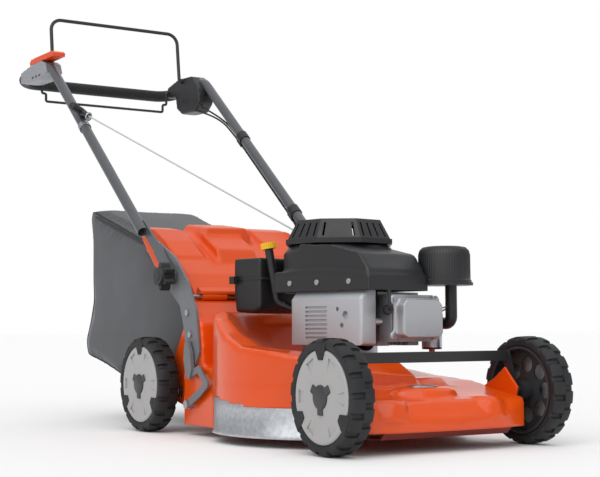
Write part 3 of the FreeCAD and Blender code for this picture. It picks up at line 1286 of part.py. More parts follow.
def all_parts():
    parts = {}
    for end, axle_y in (("front", FRONT_AXLE_Y), ("rear", REAR_AXLE_Y)):
        for name, side in (("left", 1), ("right", -1)):
            parts[f"tyre_{end}_{name}"] = tyre(side, axle_y)
            parts[f"rim_{end}_{name}"] = rim(side, axle_y)
            parts[f"hub_disc_{end}_{name}"] = hub_disc(side, axle_y)
    parts["front_axle"] = front_axle()
    parts["rear_axle"] = rear_axle()
    parts["deck_shell"] = deck_shell()
    parts["side_skirt"] = side_skirt()
    parts["flap_hinge_rod"] = hinge_rod()
    parts["handle_brackets"] = Part.makeCompound([bracket(1), bracket(-1)])
    parts["bolts"] = Part.makeCompound([deck_bolts(), lever_stud(), valve_cover_screws()])
    parts["knob_left"] = knob(1)
    parts["knob_right"] = knob(-1)
    parts["handle_tube"] = handle_tube()
    parts["grip_foam"] = grip_foam()
    parts["lever_housing"] = lever_housing()
    parts["control_box"] = control_box()
    parts["control_cables"] = control_cables()
    parts["cable_clips"] = cable_clips()
    parts["rope_guide"] = rope_guide()
    parts["bail_brake"] = bail_brake()
    parts["bail_drive"] = bail_drive()
    parts["throttle_lever"] = throttle_lever()
    parts["starter_rope"] = starter_rope()
    parts["starter_grip"] = starter_grip()
    parts["height_lever"] = height_lever()
    parts["rear_flap"] = rear_flap()
    parts["bag_fabric"] = bag_fabric()
    parts["bag_frame"] = bag_frame()
    parts["gearbox"] = gearbox()
    parts["gearbox_pulley"] = gearbox_pulley()
    parts["drive_belt"] = drive_belt()
    engine = {
        "engine_block": engine_block, "valve_cover": valve_cover,
        "muffler": muffler, "muffler_cover": muffler_cover, "carburettor": carburettor,
        "air_cleaner_base": air_cleaner_base, "air_cleaner_cover": air_cleaner_cover,
        "blower_shroud": blower_shroud, "recoil_cover": recoil_cover, "fuel_tank": fuel_tank,
        "fuel_cap": fuel_cap, "oil_filler_tube": oil_filler_tube, "dipstick_cap": dipstick_cap,
        "spark_plug": spark_plug, "plug_lead": plug_lead, "crankshaft": crankshaft,
        "flywheel_fan": flywheel_fan, "blade": blade, "blade_adapter": blade_adapter, "blade_bolt": blade_bolt,
    }
    for name, make in engine.items():
        parts[name] = in_engine_frame(make())
    return parts


def main():
    os.makedirs("parts", exist_ok=True)
    for name, shape in all_parts().items():
        placed = shape.copy()
        placed.translate(V(0, -MIDDLE_Y, 0))
        placed.exportStep(f"parts/{name}.step")
        print(name, placed.isValid(), len(placed.Solids), round(placed.Volume))


if __name__ == "__main__":
    main()
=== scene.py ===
import math
import bmesh
import bpy
from mathutils import Matrix, Vector


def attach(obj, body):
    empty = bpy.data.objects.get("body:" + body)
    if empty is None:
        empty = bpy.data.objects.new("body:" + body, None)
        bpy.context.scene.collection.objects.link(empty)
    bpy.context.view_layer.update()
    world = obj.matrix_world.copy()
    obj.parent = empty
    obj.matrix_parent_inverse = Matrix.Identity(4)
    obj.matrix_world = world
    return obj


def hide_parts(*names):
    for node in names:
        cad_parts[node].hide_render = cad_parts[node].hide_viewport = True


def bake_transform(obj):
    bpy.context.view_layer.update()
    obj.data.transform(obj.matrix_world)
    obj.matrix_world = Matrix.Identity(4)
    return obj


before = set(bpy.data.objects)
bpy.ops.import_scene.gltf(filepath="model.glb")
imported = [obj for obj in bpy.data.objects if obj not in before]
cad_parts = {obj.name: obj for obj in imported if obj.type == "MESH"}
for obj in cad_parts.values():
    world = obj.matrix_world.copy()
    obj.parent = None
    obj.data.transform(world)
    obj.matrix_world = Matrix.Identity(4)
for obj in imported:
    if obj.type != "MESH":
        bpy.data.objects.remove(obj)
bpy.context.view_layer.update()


# ---- Studio: a pale floor, an even white room and three large soft lamps.
# The lamps stand far away, so the light on the floor is even and its edge does not show.

def linear(code):
    """Turn an sRGB hex colour into the linear colour that a shader wants."""
    parts = [int(code[i:i + 2], 16) / 255 for i in (0, 2, 4)]
    return [c / 12.92 if c <= 0.04045 else ((c + 0.055) / 1.055) ** 2.4 for c in parts] + [1.0]


def node(tree, kind, inputs=None, **settings):
    """Add a node, set its options, and set or link its inputs."""
    made = tree.nodes.new(kind)
    for name, value in settings.items():
        setattr(made, name, value)
    for name, value in (inputs or {}).items():
        if isinstance(value, bpy.types.NodeSocket):
            tree.links.new(value, made.inputs[name])
        else:
            made.inputs[name].default_value = value
    return made


scene = bpy.context.scene
scene.view_settings.view_transform = "Standard"
room = bpy.data.worlds.new("white_room")
room.use_nodes = True
scene.world = room
ray = node(room.node_tree, "ShaderNodeLightPath")
glow = node(room.node_tree, "ShaderNodeMixRGB", {
    0: ray.outputs["Is Camera Ray"], 1: (0.5, 0.5, 0.51, 1), 2: (1, 1, 1, 1)})
room_light = room.node_tree.nodes["Background"]
room.node_tree.links.new(glow.outputs[0], room_light.inputs["Color"])

for name, direction, strength, spread in (
        ("lamp_front", (0.35, 0.75, -1.0), 1.15, 70), ("lamp_right_hand", (1.0, 0.35, -0.8), 0.9, 60),
        ("lamp_back", (-0.7, -0.8, -1.1), 0.6, 90)):
    lamp = bpy.data.lights.new(name, "SUN")
    lamp.energy = strength
    lamp.angle = math.radians(spread)
    lamp_object = bpy.data.objects.new(name, lamp)
    lamp_object.rotation_mode = "QUATERNION"
    lamp_object.rotation_quaternion = Vector(direction).to_track_quat("-Z", "Y")
    scene.collection.objects.link(lamp_object)

camera = bpy.data.cameras.new("camera")
camera.lens = 80.2
camera_object = bpy.data.objects.new("camera", camera)
camera_object.matrix_world = (
    Matrix.Translation((-1.5693, -2.7147, 0.2274)) @ Matrix.Rotation(math.radians(-32.65), 4, "Z")
    @ Matrix.Rotation(math.radians(93.84), 4, "X") @ Matrix.Rotation(math.radians(-0.28), 4, "Z"))
scene.collection.objects.link(camera_object)
scene.camera = camera_object

paper = bpy.data.materials.new("floor_paper")
paper.use_nodes = True
paper_shader = paper.node_tree.nodes["Principled BSDF"]
paper_shader.inputs["Base Color"].default_value = (0.9, 0.9, 0.9, 1)
paper_shader.inputs["Roughness"].default_value = 0.9
paper_shader.inputs["Specular IOR Level"].default_value = 0.1
floor_shape = bmesh.new()
bmesh.ops.create_circle(floor_shape, cap_ends=True, segments=64, radius=60)
bmesh.ops.translate(floor_shape, verts=floor_shape.verts, vec=(0, 0, -0.0006))
floor_mesh = bpy.data.meshes.new("floor")
floor_shape.to_mesh(floor_mesh)
floor_mesh.materials.append(paper)
floor = bpy.data.objects.new("floor", floor_mesh)
scene.collection.objects.link(floor)


# ---- Tyres: four moulded rubber tyres with two offset rows of blocks and three flaps over the disc.
# Each is one moulding, pressed over its rim.  Sizes in drawings are in millimetres.

def at(x, y, z):
    """A drawing point, in millimetres from the middle between the axles, in the frame's metres."""
    return Vector((x, y - 365.0, z)) / 1000.0


def plain(name, colour, roughness, metallic=0.0, ior=1.5, **sockets):
    """A material with its shader's own values set; patterns are added by the section that needs them."""
    made = bpy.data.materials.new(name)
    made.use_nodes = True
    shader = made.node_tree.nodes["Principled BSDF"]
    shader.inputs["Base Color"].default_value = linear(colour)
    shader.inputs["Roughness"].default_value = roughness
    shader.inputs["Metallic"].default_value = metallic
    if not metallic:
        shader.inputs["IOR"].default_value = ior
    for socket, value in sockets.items():
        shader.inputs[socket.replace("_", " ")].default_value = value
    return made


def grained(made, size_mm, depth_mm, low=None, high=None, detail=3.0):
    """Give a material fine relief of one grain size, and a roughness that drifts between two values."""
    tree = made.node_tree
    shader = tree.nodes["Principled BSDF"]
    place = node(tree, "ShaderNodeTexCoord")
    grain = node(tree, "ShaderNodeTexNoise", {
        "Vector": place.outputs["Object"], "Scale": 1000.0 / size_mm, "Detail": detail})
    relief = node(tree, "ShaderNodeBump", {
        "Height": grain.outputs["Fac"], "Strength": 1.0, "Distance": depth_mm / 1000.0})
    tree.links.new(relief.outputs["Normal"], shader.inputs["Normal"])
    if low is not None:
        drift = node(tree, "ShaderNodeTexNoise", {
            "Vector": place.outputs["Object"], "Scale": 22.0, "Detail": 4.0})
        span = node(tree, "ShaderNodeMapRange", {
            "Value": drift.outputs["Fac"], "From Min": 0.3, "From Max": 0.7, "To Min": low, "To Max": high})
        tree.links.new(span.outputs["Result"], shader.inputs["Roughness"])
    return made


def mottled(made, first, second, size_mm, contrast=0.2):
    """Let a material's colour wander between two close shades."""
    tree = made.node_tree
    place = node(tree, "ShaderNodeTexCoord")
    cloud = node(tree, "ShaderNodeTexNoise", {
        "Vector": place.outputs["Object"], "Scale": 1000.0 / size_mm, "Detail": 5.0})
    ramp = node(tree, "ShaderNodeValToRGB", {"Fac": cloud.outputs["Fac"]})
    ramp.color_ramp.elements[0].position = 0.5 - contrast
    ramp.color_ramp.elements[1].position = 0.5 + contrast
    ramp.color_ramp.elements[0].color = linear(first)
    ramp.color_ramp.elements[1].color = linear(second)
    tree.links.new(ramp.outputs["Color"], tree.nodes["Principled BSDF"].inputs["Base Color"])
    return made


def fit(shape, name, body, finish, stands_for=(), bevel_mm=0.0, smooth=35.0, steps=2):
    """Turn a bmesh into a piece on its body, with softened edges if it has a bevel."""
    mesh = bpy.data.meshes.new(name)
    shape.to_mesh(mesh)
    shape.free()
    mesh.materials.append(finish)
    piece = bpy.data.objects.new(name, mesh)
    scene.collection.objects.link(piece)
    mesh.shade_smooth()
    mesh.set_sharp_from_angle(angle=math.radians(smooth))
    if bevel_mm:
        edge = piece.modifiers.new("edges", "BEVEL")
        edge.width = bevel_mm / 1000.0
        edge.segments = steps
        edge.limit_method = "ANGLE"
        edge.angle_limit = math.radians(32)
        edge.harden_normals = True
    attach(piece, body)
    if stands_for:
        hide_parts(*stands_for)
    return piece


def spun(shape, profile, steps=72):
    """Turn an open or closed (radius, height) profile in millimetres about Z, all the way round."""
    points = [shape.verts.new((r / 1000.0, 0, h / 1000.0)) for r, h in profile]
    edges = [shape.edges.new(pair) for pair in zip(points, points[1:])]
    bmesh.ops.spin(shape, geom=points + edges, cent=(0, 0, 0), axis=(0, 0, 1), angle=math.tau, steps=steps,
                   use_merge=True, use_duplicate=False)
    bmesh.ops.remove_doubles(shape, verts=shape.verts, dist=1e-6)
    return shape


def outward(shape):
    bmesh.ops.recalc_face_normals(shape, faces=shape.faces)
    return shape


def prism(shape, outline, low, high):
    """Close a flat outline of drawing points and pull it to a solid from low to high along the missing axis."""
    points = [shape.verts.new(spot) for spot in outline(low)]
    face = shape.faces.new(points)
    pulled = bmesh.ops.extrude_face_region(shape, geom=[face], use_keep_orig=True)
    moved = [v for v in pulled["geom"] if isinstance(v, bmesh.types.BMVert)]
    bmesh.ops.translate(shape, verts=moved, vec=outline(high)[0] - outline(low)[0])
    return points + moved


def slab_x(shape, yz, low, high):
    return prism(shape, lambda x: [at(x, y, z) for y, z in yz], low, high)


def slab_y(shape, xz, low, high):
    return prism(shape, lambda y: [at(x, y, z) for x, z in xz], low, high)


def slab_z(shape, xy, low, high):
    return prism(shape, lambda z: [at(x, y, z) for x, y in xy], low, high)


TYRE_RADIUS = 105.0
LUGS = 18
WHEELS = {
    "front_left": (1, -366.0), "front_right": (-1, -366.0), "rear_left": (1, 366.0), "rear_right": (-1, 366.0),
}

# Tyre compound: black rubber, slightly greyed by dust, dull with a faint sheen on the blocks.
tyre_rubber = grained(plain("moulded_tyre_rubber", "1f2022", 0.62, ior=1.52, Specular_IOR_Level=0.4),
                      1.6, 0.12, 0.52, 0.72)
mottled(tyre_rubber, "1a1b1c", "252628", 60)


def stand_wheel(shape, side, axle_y):
    """Lay a wheel part that was turned about Z on its axle, outer face away from the mower."""
    bmesh.ops.rotate(shape, verts=shape.verts, cent=(0, 0, 0), matrix=Matrix.Rotation(math.radians(90), 3, "Y"))
    bmesh.ops.scale(shape, verts=shape.verts, vec=(side, 1, 1))
    bmesh.ops.translate(shape, verts=shape.verts, vec=at(side * 209.0, axle_y, TYRE_RADIUS))
    return outward(shape)


def tyre(side, axle_y, name):
    steps = LUGS * 6
    profile = [(85, 3), (88, 0.6), (95, 0), (98.5, 2.4), (100.6, 7), (101.2, 16), (101.2, 24), (101.2, 32),
               (100.6, 41), (98.5, 45.6), (95, 48), (88, 47.4), (85.4, 45), (85, 3)]
    shape = spun(bmesh.new(), profile, steps)
    blocks = {}
    for face in shape.faces:
        spot = face.calc_center_median()
        radius, height = math.hypot(spot.x, spot.y) * 1000, spot.z * 1000
        if radius < 96.2 or not 1.0 < height < 47.0:
            continue
        step = int((math.atan2(spot.y, spot.x) % math.tau) / math.tau * steps)
        row = 0 if height < 24 else 1
        lug, part = divmod((step + 3 * row) % steps, 6)
        if part < 4:
            blocks.setdefault((row, lug), []).append(face)
    for faces in blocks.values():
        raised = bmesh.ops.extrude_face_region(shape, geom=faces)
        for vert in [g for g in raised["geom"] if isinstance(g, bmesh.types.BMVert)]:
            radius = math.hypot(vert.co.x, vert.co.y) * 1000
            grow = min(TYRE_RADIUS - 0.1, radius + 3.8) / radius
            vert.co.x *= grow
            vert.co.y *= grow
    for number in range(3):
        flap = prism(shape, lambda h: [Vector((math.cos(a) * r, math.sin(a) * r, h)) / 1000 for a, r in (
            (-0.17, 97), (0.17, 97), (0.19, 84), (0.10, 66), (-0.10, 66), (-0.19, 84))], 40.0, 48.6)
        bmesh.ops.rotate(shape, verts=flap, cent=(0, 0, 0),
                         matrix=Matrix.Rotation(math.pi + number * math.tau / 3, 3, "Z"))
    return fit(stand_wheel(shape, side, axle_y), f"tyre_{name}_moulded", f"wheel_{name}",
               tyre_rubber, [f"tyre_{name}"], 0.7, smooth=30, steps=1)


for wheel, (side, axle_y) in WHEELS.items():
    tyre(side, axle_y, wheel)


# ---- Wheel discs: light grey moulded dishes with six wedge pockets and a dark cap over the axle end.
# They snap into the rims and hide the hub and the axle end.

def solid_copy(shape, name):
    mesh = bpy.data.meshes.new(name)
    outward(shape).to_mesh(mesh)
    shape.free()
    return bpy.data.objects.new(name, mesh)


def carved(shape, cutter):
    """Take one closed bmesh away from another."""
    body, tool = solid_copy(shape, "blank"), solid_copy(cutter, "cutter")
    scene.collection.objects.link(body)
    scene.collection.objects.link(tool)
    cut = body.modifiers.new("cut", "BOOLEAN")
    cut.object = tool
    cut.operation = "DIFFERENCE"
    cut.solver = "EXACT"
    cut.use_self = True
    left = bmesh.new()
    left.from_object(body, bpy.context.evaluated_depsgraph_get())
    for spare in (body, tool):
        bpy.data.objects.remove(spare)
    return left


# ABS, injection moulded with a satin texture: light warm grey.
disc_abs = grained(plain("satin_grey_abs", "a5a4a3", 0.46, ior=1.54), 0.9, 0.05, 0.38, 0.52)
cap_abs = grained(plain("satin_black_abs", "303133", 0.42, ior=1.54), 0.9, 0.05, 0.34, 0.5)


def disc(side, name, axle_y):
    dish = spun(bmesh.new(), [
        (0.0, 43), (84.2, 43), (84.2, 46.2), (81, 48.2), (77, 47.4), (40, 44.9 + 1.2), (29, 48.0), (0.0, 48.6)], 96)
    pockets = bmesh.new()
    for number in range(3):
        for lean in (-0.52, 0.52):
            wedge = prism(pockets, lambda h: [Vector((math.cos(a) * r, math.sin(a) * r, h)) / 1000 for a, r in (
                (-0.06, 31), (0.06, 31), (0.17, 74), (-0.17, 74))], 44.2, 52.0)
            for vert in wedge[:2]:
                vert.co.z += 0.004
            bmesh.ops.rotate(pockets, verts=wedge, cent=(0, 0, 0),
                             matrix=Matrix.Rotation(math.pi + number * math.tau / 3 + lean, 3, "Z"))
    fit(stand_wheel(carved(dish, pockets), side, axle_y), f"disc_{name}_pocketed", f"wheel_{name}",
        disc_abs, [f"hub_disc_{name}"], 0.8, smooth=28)
    cap = spun(bmesh.new(), [(0, 46), (23, 46), (21.5, 51.0), (17, 52.4), (0, 52.9)], 48)
    for number in range(3):
        arm = prism(cap, lambda h: [Vector((math.cos(a) * r, math.sin(a) * r, h)) / 1000 for a, r in (
            (-0.5, 18), (0.5, 18), (0.24, 33), (-0.24, 33))], 46.0, 50.4)
        bmesh.ops.rotate(cap, verts=arm, cent=(0, 0, 0), matrix=Matrix.Rotation(number * math.tau / 3, 3, "Z"))
    fit(stand_wheel(cap, side, axle_y), f"cap_{name}", f"wheel_{name}", cap_abs, (), 1.6)


for wheel, (side, axle_y) in WHEELS.items():
    disc(side, wheel, axle_y)
    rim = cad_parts[f"rim_{wheel}"]
    rim.data.materials.clear()
    rim.data.materials.append(cap_abs)


# ---- Deck: one pressed and welded steel shell, stove enamelled in glossy orange.
# The blade chamber, the volute on the right, the discharge housing and the front apron flow into each other.

def melted(shape, name, voxel_mm, rounds):
    """Melt overlapping closed shapes into one skin and round its edges."""
    blank = solid_copy(shape, name)
    scene.collection.objects.link(blank)
    skin = blank.modifiers.new("skin", "REMESH")
    skin.mode = "VOXEL"
    skin.voxel_size = voxel_mm / 1000.0
    relax = blank.modifiers.new("relax", "SMOOTH")
    relax.iterations = rounds
    relax.factor = 0.5
    skinned = bmesh.new()
    skinned.from_object(blank, bpy.context.evaluated_depsgraph_get())
    bpy.data.objects.remove(blank)
    return skinned


def sliced(shape, point, normal):
    """Cut away everything on the far side of a plane."""
    bmesh.ops.bisect_plane(shape, geom=shape.verts[:] + shape.edges[:] + shape.faces[:], dist=1e-6,
                           plane_co=point, plane_no=normal, clear_outer=True)
    return shape


def drum(shape, low_radius, high_radius, centre, low, high, steps=64):
    """Closed cone or cylinder standing on Z, in drawing millimetres."""
    made = bmesh.ops.create_cone(shape, cap_ends=True, segments=steps, radius1=low_radius / 1000.0,
                                 radius2=high_radius / 1000.0, depth=(high - low) / 1000.0)
    bmesh.ops.translate(shape, verts=made["verts"], vec=at(centre[0], centre[1], (low + high) / 2.0))
    return made["verts"]


def block(shape, x, y, z):
    """Closed box between drawing limits."""
    made = bmesh.ops.create_cube(shape, size=1.0)
    low, high = at(x[0], y[0], z[0]), at(x[1], y[1], z[1])
    bmesh.ops.scale(shape, verts=made["verts"], vec=high - low)
    bmesh.ops.translate(shape, verts=made["verts"], vec=(high + low) / 2)
    return made["verts"]


def overlap_of(first, second):
    """The closed shape that two closed shapes share."""
    body, tool = solid_copy(first, "first"), solid_copy(second, "second")
    scene.collection.objects.link(body)
    scene.collection.objects.link(tool)
    both = body.modifiers.new("both", "BOOLEAN")
    both.object = tool
    both.operation = "INTERSECT"
    both.solver = "EXACT"
    shared = bmesh.new()
    shared.from_object(body, bpy.context.evaluated_depsgraph_get())
    for spare in (body, tool):
        bpy.data.objects.remove(spare)
    return shared


def poured(target, source):
    """Add one bmesh to another."""
    mesh = bpy.data.meshes.new("poured")
    source.to_mesh(mesh)
    source.free()
    target.from_mesh(mesh)
    bpy.data.meshes.remove(mesh)


ENGINE_Y = -52.0
CHAMBER_RADIUS = 263.0

# Stove enamel over steel: deep orange and glossy, with the slightest drift of shade.
enamel = plain("orange_stove_enamel", "dc4c04", 0.26, ior=1.5, Specular_IOR_Level=0.42,
               Coat_Weight=0.25, Coat_Roughness=0.1)
mottled(enamel, "d84903", "e04f05", 160)


def apron_plan(low, high):
    """Front apron: a bowed front edge with cut corners."""
    return [(-190, low), (-190, -398), (-182, -411), (-120, -425), (0, -430), (120, -425), (182, -411),
            (190, -398), (190, low)]


def deck_form():
    form = bmesh.new()
    drum(form, CHAMBER_RADIUS, CHAMBER_RADIUS, (0, ENGINE_Y), 0, 115, 128)
    drum(form, CHAMBER_RADIUS, 125, (0, ENGINE_Y), 114.5, 146, 128)
    volute = spun(bmesh.new(), [(186, 90), (186, 146), (210, 204), (232, 258), (240, 263), (252, 263), (259, 258),
                                (262.5, 250), (262.5, 90), (186, 90)], 128)
    bmesh.ops.translate(volute, verts=volute.verts, vec=at(0, ENGINE_Y, 0))
    keep = bmesh.new()
    slab_x(keep, [(-330, 80), (-330, 128), (-250, 168), (-170, 183), (-80, 193), (-20, 218), (30, 246), (95, 263),
                  (200, 263), (200, 80)], -270, -1)
    poured(form, overlap_of(volute, keep))
    lip = spun(bmesh.new(), [
        (180, 90), (180, 122), (212, 132), (246, 131), (262.8, 118), (262.8, 90), (180, 90)], 128)
    bmesh.ops.translate(lip, verts=lip.verts, vec=at(0, ENGINE_Y, 0))
    front = bmesh.new()
    slab_z(front, [(-270, -330), (-270, -150), (0, -150), (92, -262), (76, -330)], 80, 200)
    poured(form, overlap_of(lip, front))
    slab_x(form, [(40, 0), (40, 146), (150, 146), (153, 190), (162, 236), (166, 240), (186, 263), (190, 266),
                  (212, 290), (240, 285), (240, 0)], -212, 212)
    plan = bmesh.new()
    slab_z(plan, apron_plan(-150, -150), 0, 140)
    side = bmesh.new()
    slab_x(side, [(-150, 0), (-440, 0), (-440, 59), (-427, 62), (-421, 70), (-404, 94), (-380, 98), (-330, 106),
                  (-250, 121), (-150, 128)], -195, 195)
    poured(form, overlap_of(plan, side))
    boss = spun(bmesh.new(), [(0, 80), (74, 80), (62, 112), (50, 116.5), (0, 117)], 48)
    bmesh.ops.scale(boss, verts=boss.verts, vec=(1.15, 0.66, 1))
    bmesh.ops.translate(boss, verts=boss.verts, vec=at(-18, -352, 0))
    poured(form, boss)
    for x in (-128, 100):
        ramp = spun(bmesh.new(), [(0, 60), (52, 60), (44, 90), (34, 99), (0, 101)], 48)
        bmesh.ops.translate(ramp, verts=ramp.verts, vec=at(x, -378, 0))
        poured(form, ramp)
    return form


deck = melted(deck_form(), "deck_blank", 4.6, 5)
sliced(deck, at(0, 0, 21), (0, 0, -1))


def worn_away(face):
    """Faces that the skirt band or the apron's raised bottom edge leaves open."""
    spot = face.calc_center_median() * 1000
    x, y, z = spot.x, spot.y + 365, spot.z
    if y < -318 or (y < -150 and abs(x) > 184 and math.hypot(x, y - ENGINE_Y) > 266):
        return z < 38
    band_top = 75 + max(0.0, y + 128) * 0.0973
    return x < -100 and -290 < y < 98 and z < band_top


bmesh.ops.delete(deck, geom=[f for f in deck.faces if worn_away(f)], context="FACES")
deck_piece = fit(deck, "deck_enamelled", "root", enamel, ["deck_shell"], smooth=60)
sheet = deck_piece.modifiers.new("sheet", "SOLIDIFY")
sheet.thickness = 0.002
sheet.offset = -1.0

# The side plates, the ramp under the bag's mouth and the ears that carry the front axle are welded on.
plates = bmesh.new()
for side in (-1, 1):
    slab_x(plates, [(234, 60), (234, 278), (246, 280), (335, 152), (335, 126), (312, 66), (282, 60)],
           side * 184, side * 190)
    slab_x(plates, [(-372, 60), (-300, 60), (-286, 110), (-322, 128), (-352, 150), (-388, 112)],
           side * 184, side * 189.5)
slab_x(plates, [(237, 81), (237, 84), (335, 138), (335, 135)], -184, 184)
fit(outward(plates), "deck_plates", "root", enamel, (), 1.2)

# A guard strip is spot-welded under the front edge; its dark red is painted shade, the orange strip darkened for
# the shade under the apron.
guard = bmesh.new()
slab_x(guard, [(-412, 40), (-398, 26), (-330, 24), (-330, 27), (-397, 29), (-410, 43)], -150, 150)
# colour 7a1f10 is painted shade: the orange guard strip darkened to stand for the shade under the apron
fit(outward(guard), "front_guard", "root", plain("orange_strip_painted_shade", "7a1f10", 0.5), (), 0.8)

# Medallion on the front boss: a plain satin metal oval with a raised border.
medal = spun(bmesh.new(), [(0, 116), (26, 116), (26, 118.6), (24, 119.4), (22, 118.4), (0, 118.4)], 48)
bmesh.ops.scale(medal, verts=medal.verts, vec=(1.25, 0.8, 1))
bmesh.ops.translate(medal, verts=medal.verts, vec=at(-18, -352, 0))
bright_zinc = grained(plain("bright_zinc_plate", "b9bcc0", 0.3, metallic=1.0), 2.5, 0.02, 0.24, 0.4)
fit(outward(medal), "medallion", "root", bright_zinc, (), 0.4)


# ---- Skirt: galvanised wear band bolted inside the right edge of the chamber.
# Hot-dip galvanised sheet, pale with a faint spangle and one upright joggle near its rear end.

galvanised = grained(plain("hot_dip_galvanised_sheet", "c3c7cb", 0.36, metallic=1.0), 3.0, 0.02, 0.3, 0.46)
mottled(galvanised, "b6babf", "cfd2d5", 9)
BAND_RADIUS = 262.6
BAND_LOW = 18
BAND_HIGH = 112
band = bmesh.new()
bmesh.ops.create_circle(band, segments=220, radius=BAND_RADIUS / 1000.0)
bmesh.ops.translate(band, verts=band.verts, vec=at(0, ENGINE_Y, BAND_LOW))
raised = bmesh.ops.extrude_edge_only(band, edges=band.edges[:])
bmesh.ops.translate(band, verts=[g for g in raised["geom"] if isinstance(g, bmesh.types.BMVert)],
                    vec=(0, 0, (BAND_HIGH - BAND_LOW) / 1000.0))
sliced(band, at(-100, 0, 0), (1, 0, 0))
sliced(band, at(0, 98, 0), (0, 1, 0))
sliced(band, at(0, -290, 0), (0, -1, 0))
bmesh.ops.bisect_plane(band, geom=band.verts[:] + band.edges[:] + band.faces[:], dist=1e-6,
                       plane_co=at(0, 0, 24), plane_no=(0, 0, 1))
bmesh.ops.bisect_plane(band, geom=band.verts[:] + band.edges[:] + band.faces[:], dist=1e-6,
                       plane_co=at(0, 0, 70), plane_no=(0, 0, 1))
for vert in band.verts:
    outward_step = Vector((vert.co.x, vert.co.y + 0.365 + 0.052, 0)).normalized()
    if vert.co.z < 0.0181:
        vert.co += outward_step * 0.004
    if vert.co.y + 0.365 > 0.052:
        vert.co -= outward_step * 0.004
band_piece = fit(band, "skirt_band", "root", galvanised, ["side_skirt"], smooth=50)
band_piece.modifiers.new("sheet", "SOLIDIFY").thickness = 0.002


# ---- Rear flap: moulded orange cover over the discharge mouth and the front of the bag.
# Glossy ABS with raised shoulders and a stepped hump to lift it by; it turns on a steel rod.

flap_abs = plain("glossy_orange_abs", "dc4c04", 0.36, ior=1.54, Specular_IOR_Level=0.42)
mottled(flap_abs, "d84903", "e04f05", 160)
flap = bmesh.new()
slab_x(flap, [(227, 300), (275, 350), (350, 400), (437, 448), (500, 458), (560, 440), (560, 250), (227, 250)],
       -190, 190)
slab_x(flap, [(300, 330), (330, 392), (380, 430), (437, 459), (500, 468), (560, 452), (560, 300)], -190, -112)
slab_x(flap, [(300, 330), (340, 398), (385, 432), (445, 464), (500, 474), (560, 458), (560, 300)], 78, 190)
hump = slab_y(flap, [(-78, 380), (-78, 470), (-66, 486), (38, 488), (52, 470), (60, 380)], 398, 560)
for vert in hump:
    if vert.co.z > at(0, 0, 400).z and vert.co.y < at(0, 420, 0).y:
        vert.co.z -= 0.022
slab_x(flap, [(312, 375), (330, 410), (404, 452), (410, 380)], -80, 24)
flap = melted(flap, "flap_blank", 4.2, 6)
sliced(flap, at(0, 500, 0), (0, 1, 0))
lower_edge = [(227, 285), (300, 302), (425, 374), (466, 411), (500, 452)]
for (y0, z0), (y1, z1) in zip(lower_edge[:-1], lower_edge[1:]):
    drop = [f for f in flap.faces if at(0, y0, 0).y <= f.calc_center_median().y < at(0, y1, 0).y
            and f.calc_center_median().z < at(0, 0, z0 + (z1 - z0) * (
                f.calc_center_median().y - at(0, y0, 0).y) / (at(0, y1, 0).y - at(0, y0, 0).y)).z]
    bmesh.ops.delete(flap, geom=drop, context="FACES")
bmesh.ops.delete(flap, geom=[f for f in flap.faces if f.calc_center_median().y < at(0, 230, 0).y
                             and f.calc_center_median().z < 0.285], context="FACES")
flap_piece = fit(flap, "flap_moulding", "rear_flap", flap_abs, ["rear_flap"], smooth=60)
thick = flap_piece.modifiers.new("wall", "SOLIDIFY")
thick.thickness = 0.0025
thick.offset = -1.0
hinges = bmesh.new()
for x in (-180, 120):
    made = bmesh.ops.create_cone(hinges, cap_ends=True, segments=24, radius1=0.008, radius2=0.008, depth=0.06)
    bmesh.ops.rotate(hinges, verts=made["verts"], cent=(0, 0, 0), matrix=Matrix.Rotation(math.pi / 2, 3, "Y"))
    bmesh.ops.translate(hinges, verts=made["verts"], vec=at(x + 30, 215, 297))
    block(hinges, (x, x + 60), (215, 236), (297, 301))
slab_x(hinges, [(207, 303), (227, 299), (230, 312), (222, 318), (208, 309)], -186, 186)
fit(outward(hinges), "flap_hinges", "rear_flap", flap_abs, (), 1.0)


# ---- Grass bag: a sewn polyester bag, open at its mouth, hung over a wire frame.
# Coated plain weave over the whole bag; the panels meet in piped seams.

def woven(made, thread_mm, depth_mm):
    """Plain weave: two crossed sets of threads as fine relief."""
    tree = made.node_tree
    place = node(tree, "ShaderNodeTexCoord")
    heights = []
    for direction in ("X", "Z"):
        threads = node(tree, "ShaderNodeTexWave", {
            "Vector": place.outputs["Object"], "Scale": 1000.0 / thread_mm / 20.0, "Distortion": 0.4,
            "Detail": 1.0}, bands_direction=direction)
        heights.append(threads.outputs["Fac"])
    cloth = node(tree, "ShaderNodeMath", {0: heights[0], 1: heights[1]}, operation="MULTIPLY")
    relief = node(tree, "ShaderNodeBump", {
        "Height": cloth.outputs[0], "Strength": 0.6, "Distance": depth_mm / 1000.0})
    tree.links.new(relief.outputs["Normal"], tree.nodes["Principled BSDF"].inputs["Normal"])
    return made


bag_cloth = woven(plain("coated_polyester_weave", "434548", 0.78, ior=1.5, Sheen_Weight=0.25), 1.1, 0.12)
mottled(bag_cloth, "3c3e41", "4a4c50", 140)
piping = plain("woven_edge_tape", "2f3134", 0.8)

